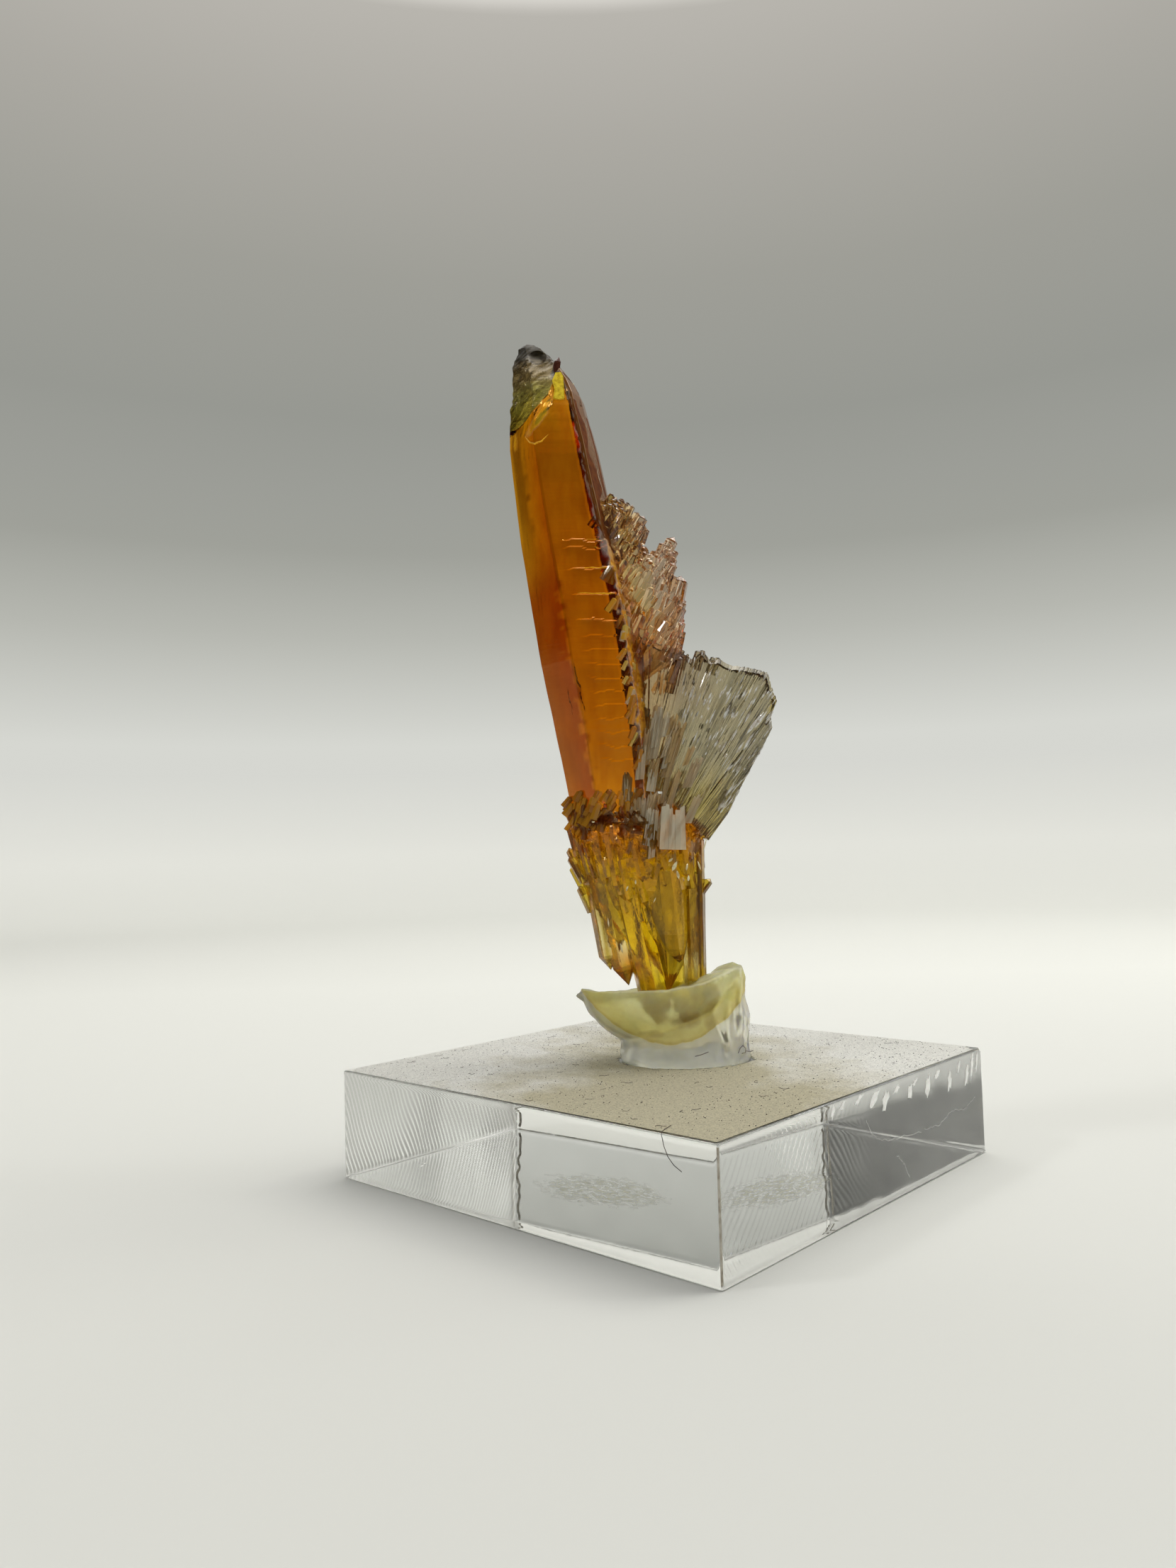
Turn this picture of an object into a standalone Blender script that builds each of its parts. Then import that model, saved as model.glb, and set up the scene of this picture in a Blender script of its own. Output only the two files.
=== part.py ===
"""A furnace-grown zincite crystal in a lump of putty on a clear square display block.

The scene is in metres, +Z up. The origin is the centre of the block's underside, and the block's sides run
along X and Y. Every size below is in millimetres, and point() turns it into metres.

The crystal and the putty are modelled in the specimen's own axes: u runs along its broad side, from the
crystal's smooth flank to its needle crust, v runs through its depth, from front to back, and z runs up.
SPECIMEN_TURN is the angle from the block's X axis to u.
"""
import bisect
import math
import random

import bmesh
import bpy
from mathutils import Matrix, Vector

MM = 0.001
FULL_TURN = 2.0 * math.pi

# Display block
BLOCK_SIDE = 38.1
BLOCK_HEIGHT = 8.7
BLOCK_EDGE = 0.25
CHIP_RADIUS = 1.1
CHIP_OFFSET = (0.44, 0.33, 0.55)

# Clearance between the pieces
GAP = 0.2
SPECIMEN_TURN = math.radians(42.3)

# Main prism: height, centre along u, and half of the width
PRISM_AXIS = [
    (26.0, -2.6, 3.2), (30.0, -3.72, 3.72), (36.3, -4.33, 4.22), (42.0, -5.17, 4.47), (47.0, -5.85, 4.5),
    (52.5, -6.83, 4.28), (57.0, -7.55, 4.0), (60.6, -8.06, 3.81), (62.6, -8.28, 3.55),
]
# Corners of the prism's section, along u and v, as shares of that half width
PRISM_CORNERS = [
    (-0.40, -0.92), (0.08, -0.86), (0.42, -0.81), (0.66, -0.78), (0.90, -0.22), (1.0, 0.22),
    (0.40, 0.93), (-0.62, 0.80), (-1.0, 0.0), (-0.88, -0.40),
]
# Growth steps across the front face: how much each corner takes part, and how far they stand out
STEPPED_CORNERS = {1: 0.4, 2: 1.0, 3: 0.7}
STEP_DIRECTION = (0.3, -1.0)
STEP_RISE = (0.08, 0.18)
STEP_LEDGE = 0.12
STEP_RANGE = (33.5, 52.0)
STEP_SPACING = (1.1, 2.1)

# Melted top of the prism: height, centre along u and v, half width
TOP_AXIS = [
    (64.0, -8.44, 0.0, 3.32), (65.2, -8.6, 0.1, 3.05), (66.3, -8.72, 0.15, 2.78), (67.0, -9.05, 0.2, 2.4),
    (67.9, -9.28, 0.25, 2.2), (68.8, -9.5, 0.3, 1.86), (69.5, -9.82, 0.3, 1.34), (70.15, -10.03, 0.3, 0.8),
]
TOP_POINT = (-10.1, 0.3, 70.45)
TOP_FURROW = 0.93
TOP_ROUGHNESS = 0.12
# Dark horn on its shoulder: buried end, tip, radius, and the share of the radius left where the point starts
HORN = ((-7.9, -1.2, 67.0), (-7.3, -1.3, 68.95), 0.42, 0.8)

# Needle crust: the tips' outline along u and z, from top to bottom, and the depths of its rows
CRUST_TIPS = [
    (-2.8, 56.95), (-2.1, 56.4), (-1.35, 55.9), (-0.7, 54.7), (-0.25, 53.8), (-0.95, 52.7), (-0.4, 52.3),
    (0.12, 51.85), (0.62, 52.0), (1.1, 51.9), (1.85, 52.85), (2.35, 51.9), (1.6, 50.5), (2.05, 49.6),
    (2.9, 48.0), (2.6, 46.7), (2.58, 45.4), (2.45, 44.2), (2.3, 43.0),
]
CRUST_ROWS = (-2.1, -0.4, 1.6)
CRUST_ROUNDING = 0.25
CRUST_LEAN = math.radians(33.0)
NEEDLE_RADII = (0.34, 0.52)
NEEDLE_LENGTH = 3.6
NEEDLE_POINT = 0.7
NEEDLE_SHOULDER = 0.85
NEEDLE_SWAY = 0.12
NEEDLE_SHORTENING = 0.4
NEEDLE_SCATTER = 0.3
NEEDLE_TUCK = 0.6
# Larger blunt crystals in the crust: buried end, tip, radius
CRUST_CRYSTALS = [
    ((-0.6, -0.5, 48.2), (1.95, -0.8, 52.8), 0.62),
    ((1.0, -0.8, 43.6), (2.45, -1.0, 49.4), 0.85),
    ((0.2, 1.0, 45.0), (2.0, 1.4, 49.8), 0.7),
]
# The mass that the needles stand on: its foot on the prism, how far it stays under the tips, half depths
CRUST_FOOT = ((-4.4, 54.5), (-1.2, 37.0))
CRUST_COVER = 0.7
CRUST_HALF = (2.5, 2.0)

# Fibrous wing: the fibres' ends along u and z, round its upper and right edges, and the line they start on
WING_TIPS = [
    (-1.1, 44.2), (0.3, 43.7), (2.33, 42.92), (3.1, 42.28), (4.07, 42.94), (4.7, 42.15), (5.45, 42.2),
    (6.4, 41.62), (7.36, 41.54), (8.1, 41.35), (8.83, 41.19), (9.5, 40.92), (9.8, 39.7), (10.21, 38.42),
    (9.6, 37.25), (9.74, 36.21), (8.02, 33.24), (6.85, 31.2), (6.0, 29.5),
]
WING_FOOT = ((-2.6, 31.0), (3.6, 25.9))
WING_MIDDLE = -0.7
WING_HALF = (2.4, 1.15)

# Striated plates over the foot of the prism, first at the front, then at the back: left and right foot,
# left and right tip, all along u and z, and how far back the plate stands
PLATES = [
    ((-2.3, 27.3), (-0.9, 27.6), (-3.2, 31.5), (-0.9, 32.3), -3.9),
    ((-1.2, 26.0), (1.5, 26.0), (-0.4, 29.8), (1.7, 29.3), -3.8),
    ((-0.9, 29.8), (1.2, 30.2), (-0.6, 35.4), (1.6, 34.6), -3.4),
    ((1.2, 28.4), (3.1, 28.9), (1.5, 32.0), (3.4, 31.4), -2.9),
    ((-4.2, 27.6), (-1.6, 27.2), (-4.6, 33.2), (-2.1, 34.6), 3.1),
    ((-1.9, 26.8), (0.8, 27.0), (-2.0, 36.2), (0.9, 34.8), 3.0),
    ((0.4, 27.4), (2.9, 27.9), (0.9, 33.4), (3.5, 32.2), 2.5),
]
PLATE_HALF = (0.8, 0.65)
PLATE_TIPS = 5
PLATE_CROWN = 0.25
PLATE_TOOTH = 0.12

# Shape of every fibrous plate: furrow depth as a share, how far furrows stay back, bevel length, thin edges
FURROW_SHARES = (0.62, 0.8)
FURROW_BACK = (0.15, 0.45)
FIBRE_BEVEL = 0.9
PLATE_EDGE = (0.12, 0.88)

# Root mass: height, centre along u, half width, half depth
ROOT_MASS = [
    (31.0, -2.3, 4.7, 3.1), (28.0, -1.7, 5.6, 3.8), (25.0, -1.75, 5.2, 3.8), (22.0, -1.3, 4.5, 3.3),
    (19.3, -0.7, 3.3, 2.7), (17.6, 0.0, 2.4, 2.1),
]
ROOT_MASS_TOP = (-2.4, 0.0, 35.5)
ROOT_MASS_TIP = (0.4, 0.1, 14.2)
ROOT_MASS_SIDES = 14
ROOT_MASS_FLUTE = 0.9
ROOT_MASS_WAVE = 0.3
# Single root crystals, given as the horn is
ROOTS = [
    ((-5.9, -0.8, 26.0), (-4.45, -1.1, 16.35), 0.95, 0.85),
    ((-4.7, -1.4, 24.5), (-3.0, -1.2, 15.05), 1.12, 0.95),
    ((-2.9, -2.0, 23.5), (-0.65, -1.3, 12.4), 1.35, 0.9),
    ((0.0, -2.1, 26.5), (1.2, -2.0, 16.9), 2.0, 0.42),
    ((2.15, -1.9, 23.0), (2.2, -1.5, 12.6), 0.72, 0.9),
    ((2.9, -0.3, 27.0), (2.85, -0.2, 12.8), 0.85, 0.85),
    ((-5.0, 1.3, 26.0), (-3.9, 0.9, 17.6), 1.15, 0.6),
    ((-3.2, 2.4, 26.5), (-1.9, 1.7, 15.9), 1.2, 0.8),
    ((-1.2, 2.6, 27.0), (-0.3, 1.6, 12.7), 1.45, 0.8),
    ((1.3, 2.5, 27.0), (1.35, 1.5, 12.5), 1.3, 0.85),
    ((2.6, 1.5, 26.0), (2.6, 1.0, 13.6), 1.0, 0.8),
]
ROOT_POINT = 1.5
# Ring of lesser root crystals, whose points come out of the root mass
LESSER_ROOTS = 16
LESSER_HEIGHTS = (16.6, 21.5)
LESSER_RADII = (0.42, 0.8)
LESSER_SHOULDERS = (0.7, 0.95)
LESSER_RISE = (-0.9, 6.0)
LESSER_DEPTH = 0.94
# Small crystals that end on the edge of the root mass: their tips, and where they start from there
TEETH = [
    ((-7.8, -0.3, 29.8), (1.3, 0.0, -3.0)), ((-7.72, 0.3, 26.6), (1.1, 0.0, -2.4)),
    ((-7.68, -0.7, 25.9), (1.2, 0.0, -2.2)), ((-7.5, 0.1, 25.1), (1.2, 0.0, -2.4)),
    ((-6.9, -0.6, 23.4), (1.0, 0.0, -2.2)), ((4.15, -0.4, 23.7), (-1.2, 0.0, -1.5)),
]
TOOTH_RADIUS = 0.42
TOOTH_SHOULDER = 0.9

# Putty bowl: its centre, its rim's reach to the left, right, front and back, and its depth
BOWL_CENTRE = (-0.1, -0.7)
BOWL_REACH = (6.9, 6.6, 4.3, 3.9)
BOWL_DEPTH = 5.0
BOWL_RINGS = 7
BOWL_SIDES = 36
BOWL_FULLNESS = 1.15
BOWL_START = 0.6
# The hollow inside the rim: how far in each ring lies, and how far down
BOWL_HOLLOW = ((0.9, 0.04), (0.72, 0.35))
HOLLOW_DEPTH = 0.7
# Height of the rim at an angle round it, in degrees from the u axis
RIM_HEIGHTS = [
    (0.0, 16.5), (30.0, 15.9), (75.0, 14.9), (110.0, 14.3), (150.0, 14.1), (180.0, 14.85), (225.0, 14.95),
    (270.0, 15.1), (300.0, 15.55), (330.0, 16.4), (360.0, 16.5),
]
# Putty foot and right wall: height, centre along u and v, half width, half depth
FOOT = [
    (9.3, 1.5, 0.0, 5.35, 4.4), (10.2, 1.5, 0.05, 5.2, 4.2), (11.6, 1.5, 0.1, 4.9, 4.0),
    (13.0, 1.4, 0.1, 4.4, 3.6),
]
FOOT_TOP = (1.4, 0.1, 13.2)
FOOT_SIDES = 26
FOOT_ROUGHNESS = 0.02
WALL = [
    (9.2, 4.75, 0.0, 2.3, 3.5), (10.6, 4.7, 0.05, 2.2, 3.6), (12.4, 4.65, 0.1, 2.35, 3.7),
    (13.9, 4.8, 0.1, 1.95, 3.4), (15.3, 5.2, 0.0, 1.6, 2.7), (16.2, 5.6, -0.2, 1.05, 1.7),
]
WALL_TOP = (5.8, -0.3, 16.7)
WALL_SIDES = 18
WALL_ROUGHNESS = 0.05
COLUMN_FOOT_SHARE = 0.98
# Crumpled flap of putty at the bowl's left tip, given as the horn is
FLAP = ((-5.4, -0.9, 14.0), (-7.55, -1.0, 14.35), 0.62, 0.8)

# Colour and roughness of each piece
FINISHES = {
    "acrylic_base": ((0.86, 0.88, 0.87), 0.08),
    "mounting_putty": ((0.66, 0.66, 0.36), 0.35),
    "zincite_crystal": ((0.60, 0.24, 0.02), 0.15),
}


def clear_scene():
    """Take the objects of the open file out of the scene."""
    for thing in list(bpy.data.objects):
        bpy.data.objects.remove(thing, do_unlink=True)


def point(u, v, z):
    """A place in metres, from millimetres."""
    return Vector((u, v, z)) * MM


def material(name):
    """The plain material of one piece."""
    colour, roughness = FINISHES[name]
    made = bpy.data.materials.new(name)
    made.use_nodes = True
    shader = made.node_tree.nodes["Principled BSDF"]
    shader.inputs["Base Color"].default_value = (*colour, 1.0)
    shader.inputs["Roughness"].default_value = roughness
    shader.inputs["Metallic"].default_value = 0.0
    return made


def add_object(name, shape):
    """Put a finished bmesh into the scene as an object of its own."""
    bmesh.ops.triangulate(shape, faces=shape.faces)
    bmesh.ops.recalc_face_normals(shape, faces=shape.faces)
    mesh = bpy.data.meshes.new(name)
    shape.to_mesh(mesh)
    shape.free()
    thing = bpy.data.objects.new(name, mesh)
    bpy.context.scene.collection.objects.link(thing)
    return thing


def skin(name, rings, first, last):
    """One closed solid through a row of rings, with a point at each end."""
    shape = bmesh.new()
    rows = [[shape.verts.new(place) for place in ring] for ring in rings]
    start = shape.verts.new(first)
    end = shape.verts.new(last)
    count = len(rings[0])
    for i in range(count):
        j = (i + 1) % count
        for low, high in zip(rows, rows[1:]):
            shape.faces.new((low[i], low[j], high[j], high[i]))
        shape.faces.new((start, rows[0][j], rows[0][i]))
        shape.faces.new((end, rows[-1][i], rows[-1][j]))
    return add_object(name, shape)


def blend(start, end, share):
    """A tuple of numbers part of the way from one to another."""
    return tuple(a + (b - a) * share for a, b in zip(start, end))


def between(table, key):
    """A table's row at a key, read on the straight line between its rows, without the key itself."""
    keys = [row[0] for row in table]
    i = min(max(bisect.bisect(keys, key), 1), len(table) - 1)
    low, high = table[i - 1], table[i]
    return blend(low[1:], high[1:], (key - low[0]) / (high[0] - low[0]))


def shell_of(face):
    """All the faces that are joined to one face through shared edges."""
    shell = {face}
    rim = [face]
    while rim:
        near = {other for edge in rim.pop().edges for other in edge.link_faces} - shell
        shell |= near
        rim += near
    return shell


def keep_outer_shell(mesh):
    """Fill the small pockets that are closed in between joined crystals, by dropping their walls."""
    shape = bmesh.new()
    shape.from_mesh(mesh)
    outer = set()
    left = set(shape.faces)
    while left:
        shell = shell_of(next(iter(left)))
        left -= shell
        outer = max(outer, shell, key=len)
    bmesh.ops.delete(shape, geom=[face for face in shape.faces if face not in outer], context="FACES")
    shape.to_mesh(mesh)
    shape.free()


def combine(target, others, operation):
    """Join other solids to one, or cut them from it, and drop them."""
    group = bpy.data.collections.new("operands")
    for other in others:
        group.objects.link(other)
    boolean = target.modifiers.new("combine", "BOOLEAN")
    boolean.operation = operation
    boolean.operand_type = "COLLECTION"
    boolean.collection = group
    boolean.solver = "EXACT"
    boolean.use_self = True
    bpy.context.view_layer.update()
    result = bpy.data.meshes.new_from_object(target.evaluated_get(bpy.context.evaluated_depsgraph_get()))
    target.modifiers.clear()
    target.data = result
    keep_outer_shell(result)
    for other in others:
        bpy.data.objects.remove(other, do_unlink=True)
    bpy.data.collections.remove(group)


def crystal(buried, tip, radius, shoulder, sides=6, spin=0.0, grow=0.0, slope=ROOT_POINT):
    """A straight crystal from its buried end to its point. grow makes it larger all round.

    shoulder is the share of the radius left where the point starts, and slope is the point's length for that.
    """
    start, end = Vector(buried), Vector(tip)
    axis = (end - start).normalized()
    across = axis.orthogonal().normalized()
    across.rotate(Matrix.Rotation(spin, 3, axis))
    side = axis.cross(across)
    end = end + axis * grow
    neck = end - axis * (slope * radius * shoulder + grow)
    rings = []
    for centre, reach in ((start, radius + grow), (neck, radius * shoulder + grow)):
        ring = []
        for i in range(sides):
            angle = FULL_TURN * i / sides
            ring.append((centre + (across * math.cos(angle) + side * math.sin(angle)) * reach) * MM)
        rings.append(ring)
    return skin("crystal", rings, start * MM, end * MM)


def prism_ring(height, centre_u, centre_v, half, rise=0.0):
    """The prism's section at one height. rise pushes out the corners that carry growth steps."""
    ring = []
    for i, (share_u, share_v) in enumerate(PRISM_CORNERS):
        proud = STEPPED_CORNERS.get(i, 0.0) * rise
        u = centre_u + share_u * half + STEP_DIRECTION[0] * proud
        v = centre_v + share_v * half + STEP_DIRECTION[1] * proud
        ring.append(point(u, v, height))
    return ring


def prism_levels(draw):
    """Heights of the prism's sections, each with the rise of the growth step that ends there."""
    levels = [(row[0], 0.0) for row in PRISM_AXIS]
    foot, top = STEP_RANGE
    height = top
    while height > foot:
        levels.append((height, 0.0))
        levels.append((height - STEP_LEDGE, draw.uniform(*STEP_RISE)))
        height -= blend(STEP_SPACING[:1], STEP_SPACING[1:], (height - foot) / (top - foot))[0]
    return sorted(levels)


def main_prism():
    """The long prism with its growth steps and its melted, furrowed top."""
    draw = random.Random(4)
    rings = []
    for height, rise in prism_levels(draw):
        centre, half = between(PRISM_AXIS, height)
        rings.append(prism_ring(height, centre, 0.0, half, rise))
    for i, (height, centre_u, centre_v, half) in enumerate(TOP_AXIS):
        width = half if i % 2 else half * TOP_FURROW
        ring = []
        for place in prism_ring(height, centre_u, centre_v, width):
            ring.append(place + Vector([draw.uniform(-TOP_ROUGHNESS, TOP_ROUGHNESS) for _ in range(3)]) * MM)
        rings.append(ring)
    foot_height, foot_centre, _ = PRISM_AXIS[0]
    return skin("zincite_crystal", rings, point(foot_centre, 0.0, foot_height), point(*TOP_POINT))


def fibre_plate(name, feet, tips, middle, halves, seed):
    """A plate of side-by-side fibres: ridges run from its foot to each tip, with furrows between them.

    halves are half of its depth at the foot and near the tips, and middle is how far back it stands.
    """
    draw = random.Random(seed)
    ends = [tips[0]]
    for left, right in zip(tips, tips[1:]):
        ends.append(blend(left, right, 0.5))
        ends.append(right)
    rings = []
    for i, (tip_u, tip_z) in enumerate(ends):
        share = i / (len(ends) - 1)
        foot_u, foot_z = blend(feet[0], feet[1], share)
        foot = Vector((foot_u, middle, foot_z))
        tip = Vector((tip_u, middle, tip_z))
        fibre = (tip - foot).normalized()
        fullness = math.sqrt(math.sin(math.pi * blend(PLATE_EDGE[:1], PLATE_EDGE[1:], share)[0]))
        if i % 2:
            tip = tip - fibre * draw.uniform(*FURROW_BACK)
        else:
            fullness *= draw.uniform(*FURROW_SHARES)
        neck = tip - fibre * FIBRE_BEVEL
        low = Vector((0.0, halves[0] * fullness, 0.0))
        high = Vector((0.0, halves[1] * fullness, 0.0))
        rings.append([place * MM for place in (foot - low, neck - high, tip, neck + high, foot + low)])
    first = sum(rings[0], Vector()) / len(rings[0])
    last = sum(rings[-1], Vector()) / len(rings[-1])
    return skin(name, rings, first, last)


def crust_body():
    """The mass that the needles stand on, which stays under their tips."""
    cover = (math.sin(CRUST_LEAN) * CRUST_COVER, math.cos(CRUST_LEAN) * CRUST_COVER)
    tips = [(u - cover[0], z - cover[1]) for u, z in CRUST_TIPS]
    return fibre_plate("crust", CRUST_FOOT, tips, 0.0, CRUST_HALF, 17)


def needle_crust():
    """The crust: rows of parallel needles on their mass, whose tips step back towards its faces."""
    draw = random.Random(11)
    lean = Vector((math.sin(CRUST_LEAN), 0.0, math.cos(CRUST_LEAN)))
    parts = [crust_body()]
    parts += [crystal(*row, NEEDLE_SHOULDER, slope=NEEDLE_POINT) for row in CRUST_CRYSTALS]
    for depth in CRUST_ROWS:
        for tip_u, tip_z in CRUST_TIPS:
            sway = Vector([draw.uniform(-NEEDLE_SWAY, NEEDLE_SWAY) for _ in range(3)])
            direction = (lean + sway).normalized()
            back = CRUST_ROUNDING * depth ** 2 + draw.uniform(0.0, NEEDLE_SHORTENING) * abs(depth)
            place = Vector((tip_u, depth + draw.uniform(-NEEDLE_SCATTER, NEEDLE_SCATTER), tip_z))
            tip = place - direction * back
            buried = tip - direction * NEEDLE_LENGTH - Vector((0.0, NEEDLE_TUCK * depth, 0.0))
            radius = draw.uniform(*NEEDLE_RADII)
            spin = draw.uniform(0.0, 1.5)
            parts.append(crystal(buried, tip, radius, NEEDLE_SHOULDER, 4, spin, slope=NEEDLE_POINT))
    return parts


def striated_plates():
    """Small plates that lie over the foot of the prism."""
    plates = []
    for i, (foot_left, foot_right, tip_left, tip_right, depth) in enumerate(PLATES):
        tips = []
        for k in range(PLATE_TIPS):
            share = k / (PLATE_TIPS - 1)
            u, z = blend(tip_left, tip_right, share)
            tips.append((u, z + PLATE_CROWN * math.sin(math.pi * share) + PLATE_TOOTH * (k % 2)))
        feet = (foot_left, foot_right)
        plates.append(fibre_plate("plate", feet, tips, depth, PLATE_HALF, 30 + i))
    return plates


def root_mass():
    """The fluted mass between the prism and its roots."""
    rings = []
    for height, centre, half_width, half_depth in ROOT_MASS:
        ring = []
        for i in range(ROOT_MASS_SIDES):
            angle = FULL_TURN * i / ROOT_MASS_SIDES
            flute = ROOT_MASS_FLUTE if i % 2 else 1.0
            u = centre + half_width * flute * math.cos(angle)
            v = half_depth * flute * math.sin(angle)
            ring.append(point(u, v, height + ROOT_MASS_WAVE * math.sin(3.0 * angle)))
        rings.append(ring)
    return skin("root_mass", rings, point(*ROOT_MASS_TOP), point(*ROOT_MASS_TIP))


def root_crystals(grow=0.0):
    """The single root crystals. grow makes them larger all round, to cut their pocket in the putty."""
    draw = random.Random(7)
    made = []
    for buried, tip, radius, shoulder in ROOTS:
        made.append(crystal(buried, tip, radius, shoulder, 6, draw.uniform(0.0, 1.0), grow))
    return made


def lesser_roots():
    """A ring of smaller root crystals whose points come out of the root mass at different heights."""
    draw = random.Random(13)
    made = []
    for i in range(LESSER_ROOTS):
        angle = FULL_TURN * (i + draw.uniform(-0.3, 0.3)) / LESSER_ROOTS
        height = draw.uniform(*LESSER_HEIGHTS)
        centre, half_width, half_depth = between(ROOT_MASS[::-1], height)
        out = Vector((half_width * math.cos(angle), half_depth * math.sin(angle), 0.0))
        tip = Vector((centre, 0.0, height)) + out * LESSER_DEPTH
        buried = tip + out * 0.1 + Vector((LESSER_RISE[0], 0.0, LESSER_RISE[1]))
        radius = draw.uniform(*LESSER_RADII)
        shoulder = draw.uniform(*LESSER_SHOULDERS)
        made.append(crystal(buried, tip, radius, shoulder, 6, draw.uniform(0.0, 1.0)))
    return made


def teeth():
    """Small crystals that end on the edge of the root mass."""
    draw = random.Random(9)
    made = []
    for tip, start in TEETH:
        end = Vector(tip)
        spin = draw.uniform(0.0, 1.0)
        buried = end + Vector(start)
        made.append(crystal(buried, end, TOOTH_RADIUS, TOOTH_SHOULDER, 5, spin, slope=NEEDLE_POINT))
    return made


def zincite():
    """The whole specimen as one intergrown solid."""
    body = main_prism()
    parts = [root_mass(), crystal(*HORN, 5)]
    parts.append(fibre_plate("wing", WING_FOOT, WING_TIPS, WING_MIDDLE, WING_HALF, 21))
    parts += striated_plates()
    parts += root_crystals()
    parts += lesser_roots()
    parts += teeth()
    parts += needle_crust()
    combine(body, parts, "UNION")
    return body


def oval_reach(angle, left, right, front, back):
    """A point at an angle round an oval whose four half widths differ."""
    along, through = math.cos(angle), math.sin(angle)
    return along * (right if along > 0.0 else left), through * (back if through > 0.0 else front)


def bowl_ring(share, drop):
    """One ring of the bowl, at a share of the rim's reach and a drop under the rim."""
    ring = []
    for i in range(BOWL_SIDES):
        angle = FULL_TURN * i / BOWL_SIDES
        along, through = oval_reach(angle, *BOWL_REACH)
        rim = between(RIM_HEIGHTS, math.degrees(angle))[0]
        ring.append(point(BOWL_CENTRE[0] + along * share, BOWL_CENTRE[1] + through * share, rim - drop))
    return ring


def putty_bowl():
    """The bowl: a boat-shaped hull with a shallow hollow on top."""
    rings = []
    for level in range(BOWL_RINGS):
        down = math.cos(0.5 * math.pi * (level + BOWL_START) / (BOWL_RINGS - 1 + BOWL_START))
        share = math.sqrt(1.0 - down ** 2) ** BOWL_FULLNESS
        rings.append(bowl_ring(share, BOWL_DEPTH * down))
    for share, drop in BOWL_HOLLOW:
        rings.append(bowl_ring(share, drop))
    front = between(RIM_HEIGHTS, 270.0)[0]
    first = point(*BOWL_CENTRE, front - BOWL_DEPTH)
    last = point(*BOWL_CENTRE, front - HOLLOW_DEPTH)
    return skin("mounting_putty", rings, first, last)


def rough_column(name, table, sides, roughness, top, seed):
    """A pressed lump of putty through oval sections, with an uneven side, that ends just above the block."""
    draw = random.Random(seed)
    bottom = BLOCK_HEIGHT + GAP
    lowest = (bottom, *table[0][1:3], *(value * COLUMN_FOOT_SHARE for value in table[0][3:]))
    rings = []
    for height, centre_u, centre_v, half_width, half_depth in [lowest] + table:
        ring = []
        for i in range(sides):
            angle = FULL_TURN * i / sides
            uneven = 1.0 + draw.uniform(-roughness, roughness)
            u = centre_u + half_width * uneven * math.cos(angle)
            v = centre_v + half_depth * uneven * math.sin(angle)
            ring.append(point(u, v, height))
        rings.append(ring)
    return skin(name, rings, point(*lowest[1:3], bottom), point(*top))


def putty():
    """The lump of putty: bowl, foot, wall and flap in one, with a pocket for the roots."""
    body = putty_bowl()
    foot = rough_column("foot", FOOT, FOOT_SIDES, FOOT_ROUGHNESS, FOOT_TOP, 5)
    wall = rough_column("wall", WALL, WALL_SIDES, WALL_ROUGHNESS, WALL_TOP, 8)
    combine(body, [foot, wall, crystal(*FLAP, 5)], "UNION")
    combine(body, root_crystals(GAP), "DIFFERENCE")
    return body


def block():
    """The clear block, with small edge bevels and one chipped corner."""
    shape = bmesh.new()
    bmesh.ops.create_cube(shape, size=1.0)
    for vert in shape.verts:
        vert.co = point(vert.co.x * BLOCK_SIDE, vert.co.y * BLOCK_SIDE, (vert.co.z + 0.5) * BLOCK_HEIGHT)
    edge = BLOCK_EDGE * MM
    bmesh.ops.bevel(shape, geom=shape.edges[:], offset=edge, segments=2, affect="EDGES", profile=0.5)
    body = add_object("acrylic_base", shape)
    place = Matrix.Translation(point(BLOCK_SIDE / 2.0, BLOCK_SIDE / 2.0, BLOCK_HEIGHT) + point(*CHIP_OFFSET))
    chip = bmesh.new()
    bmesh.ops.create_icosphere(chip, subdivisions=1, radius=CHIP_RADIUS * MM, matrix=place)
    combine(body, [add_object("chip", chip)], "DIFFERENCE")
    return body


def main():
    """Build the three pieces."""
    clear_scene()
    base = block()
    lump = putty()
    specimen = zincite()
    for piece in (lump, specimen):
        piece.rotation_euler.z = SPECIMEN_TURN
    for piece in (base, lump, specimen):
        piece.data.materials.clear()
        piece.data.materials.append(material(piece.name))


main()
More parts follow.
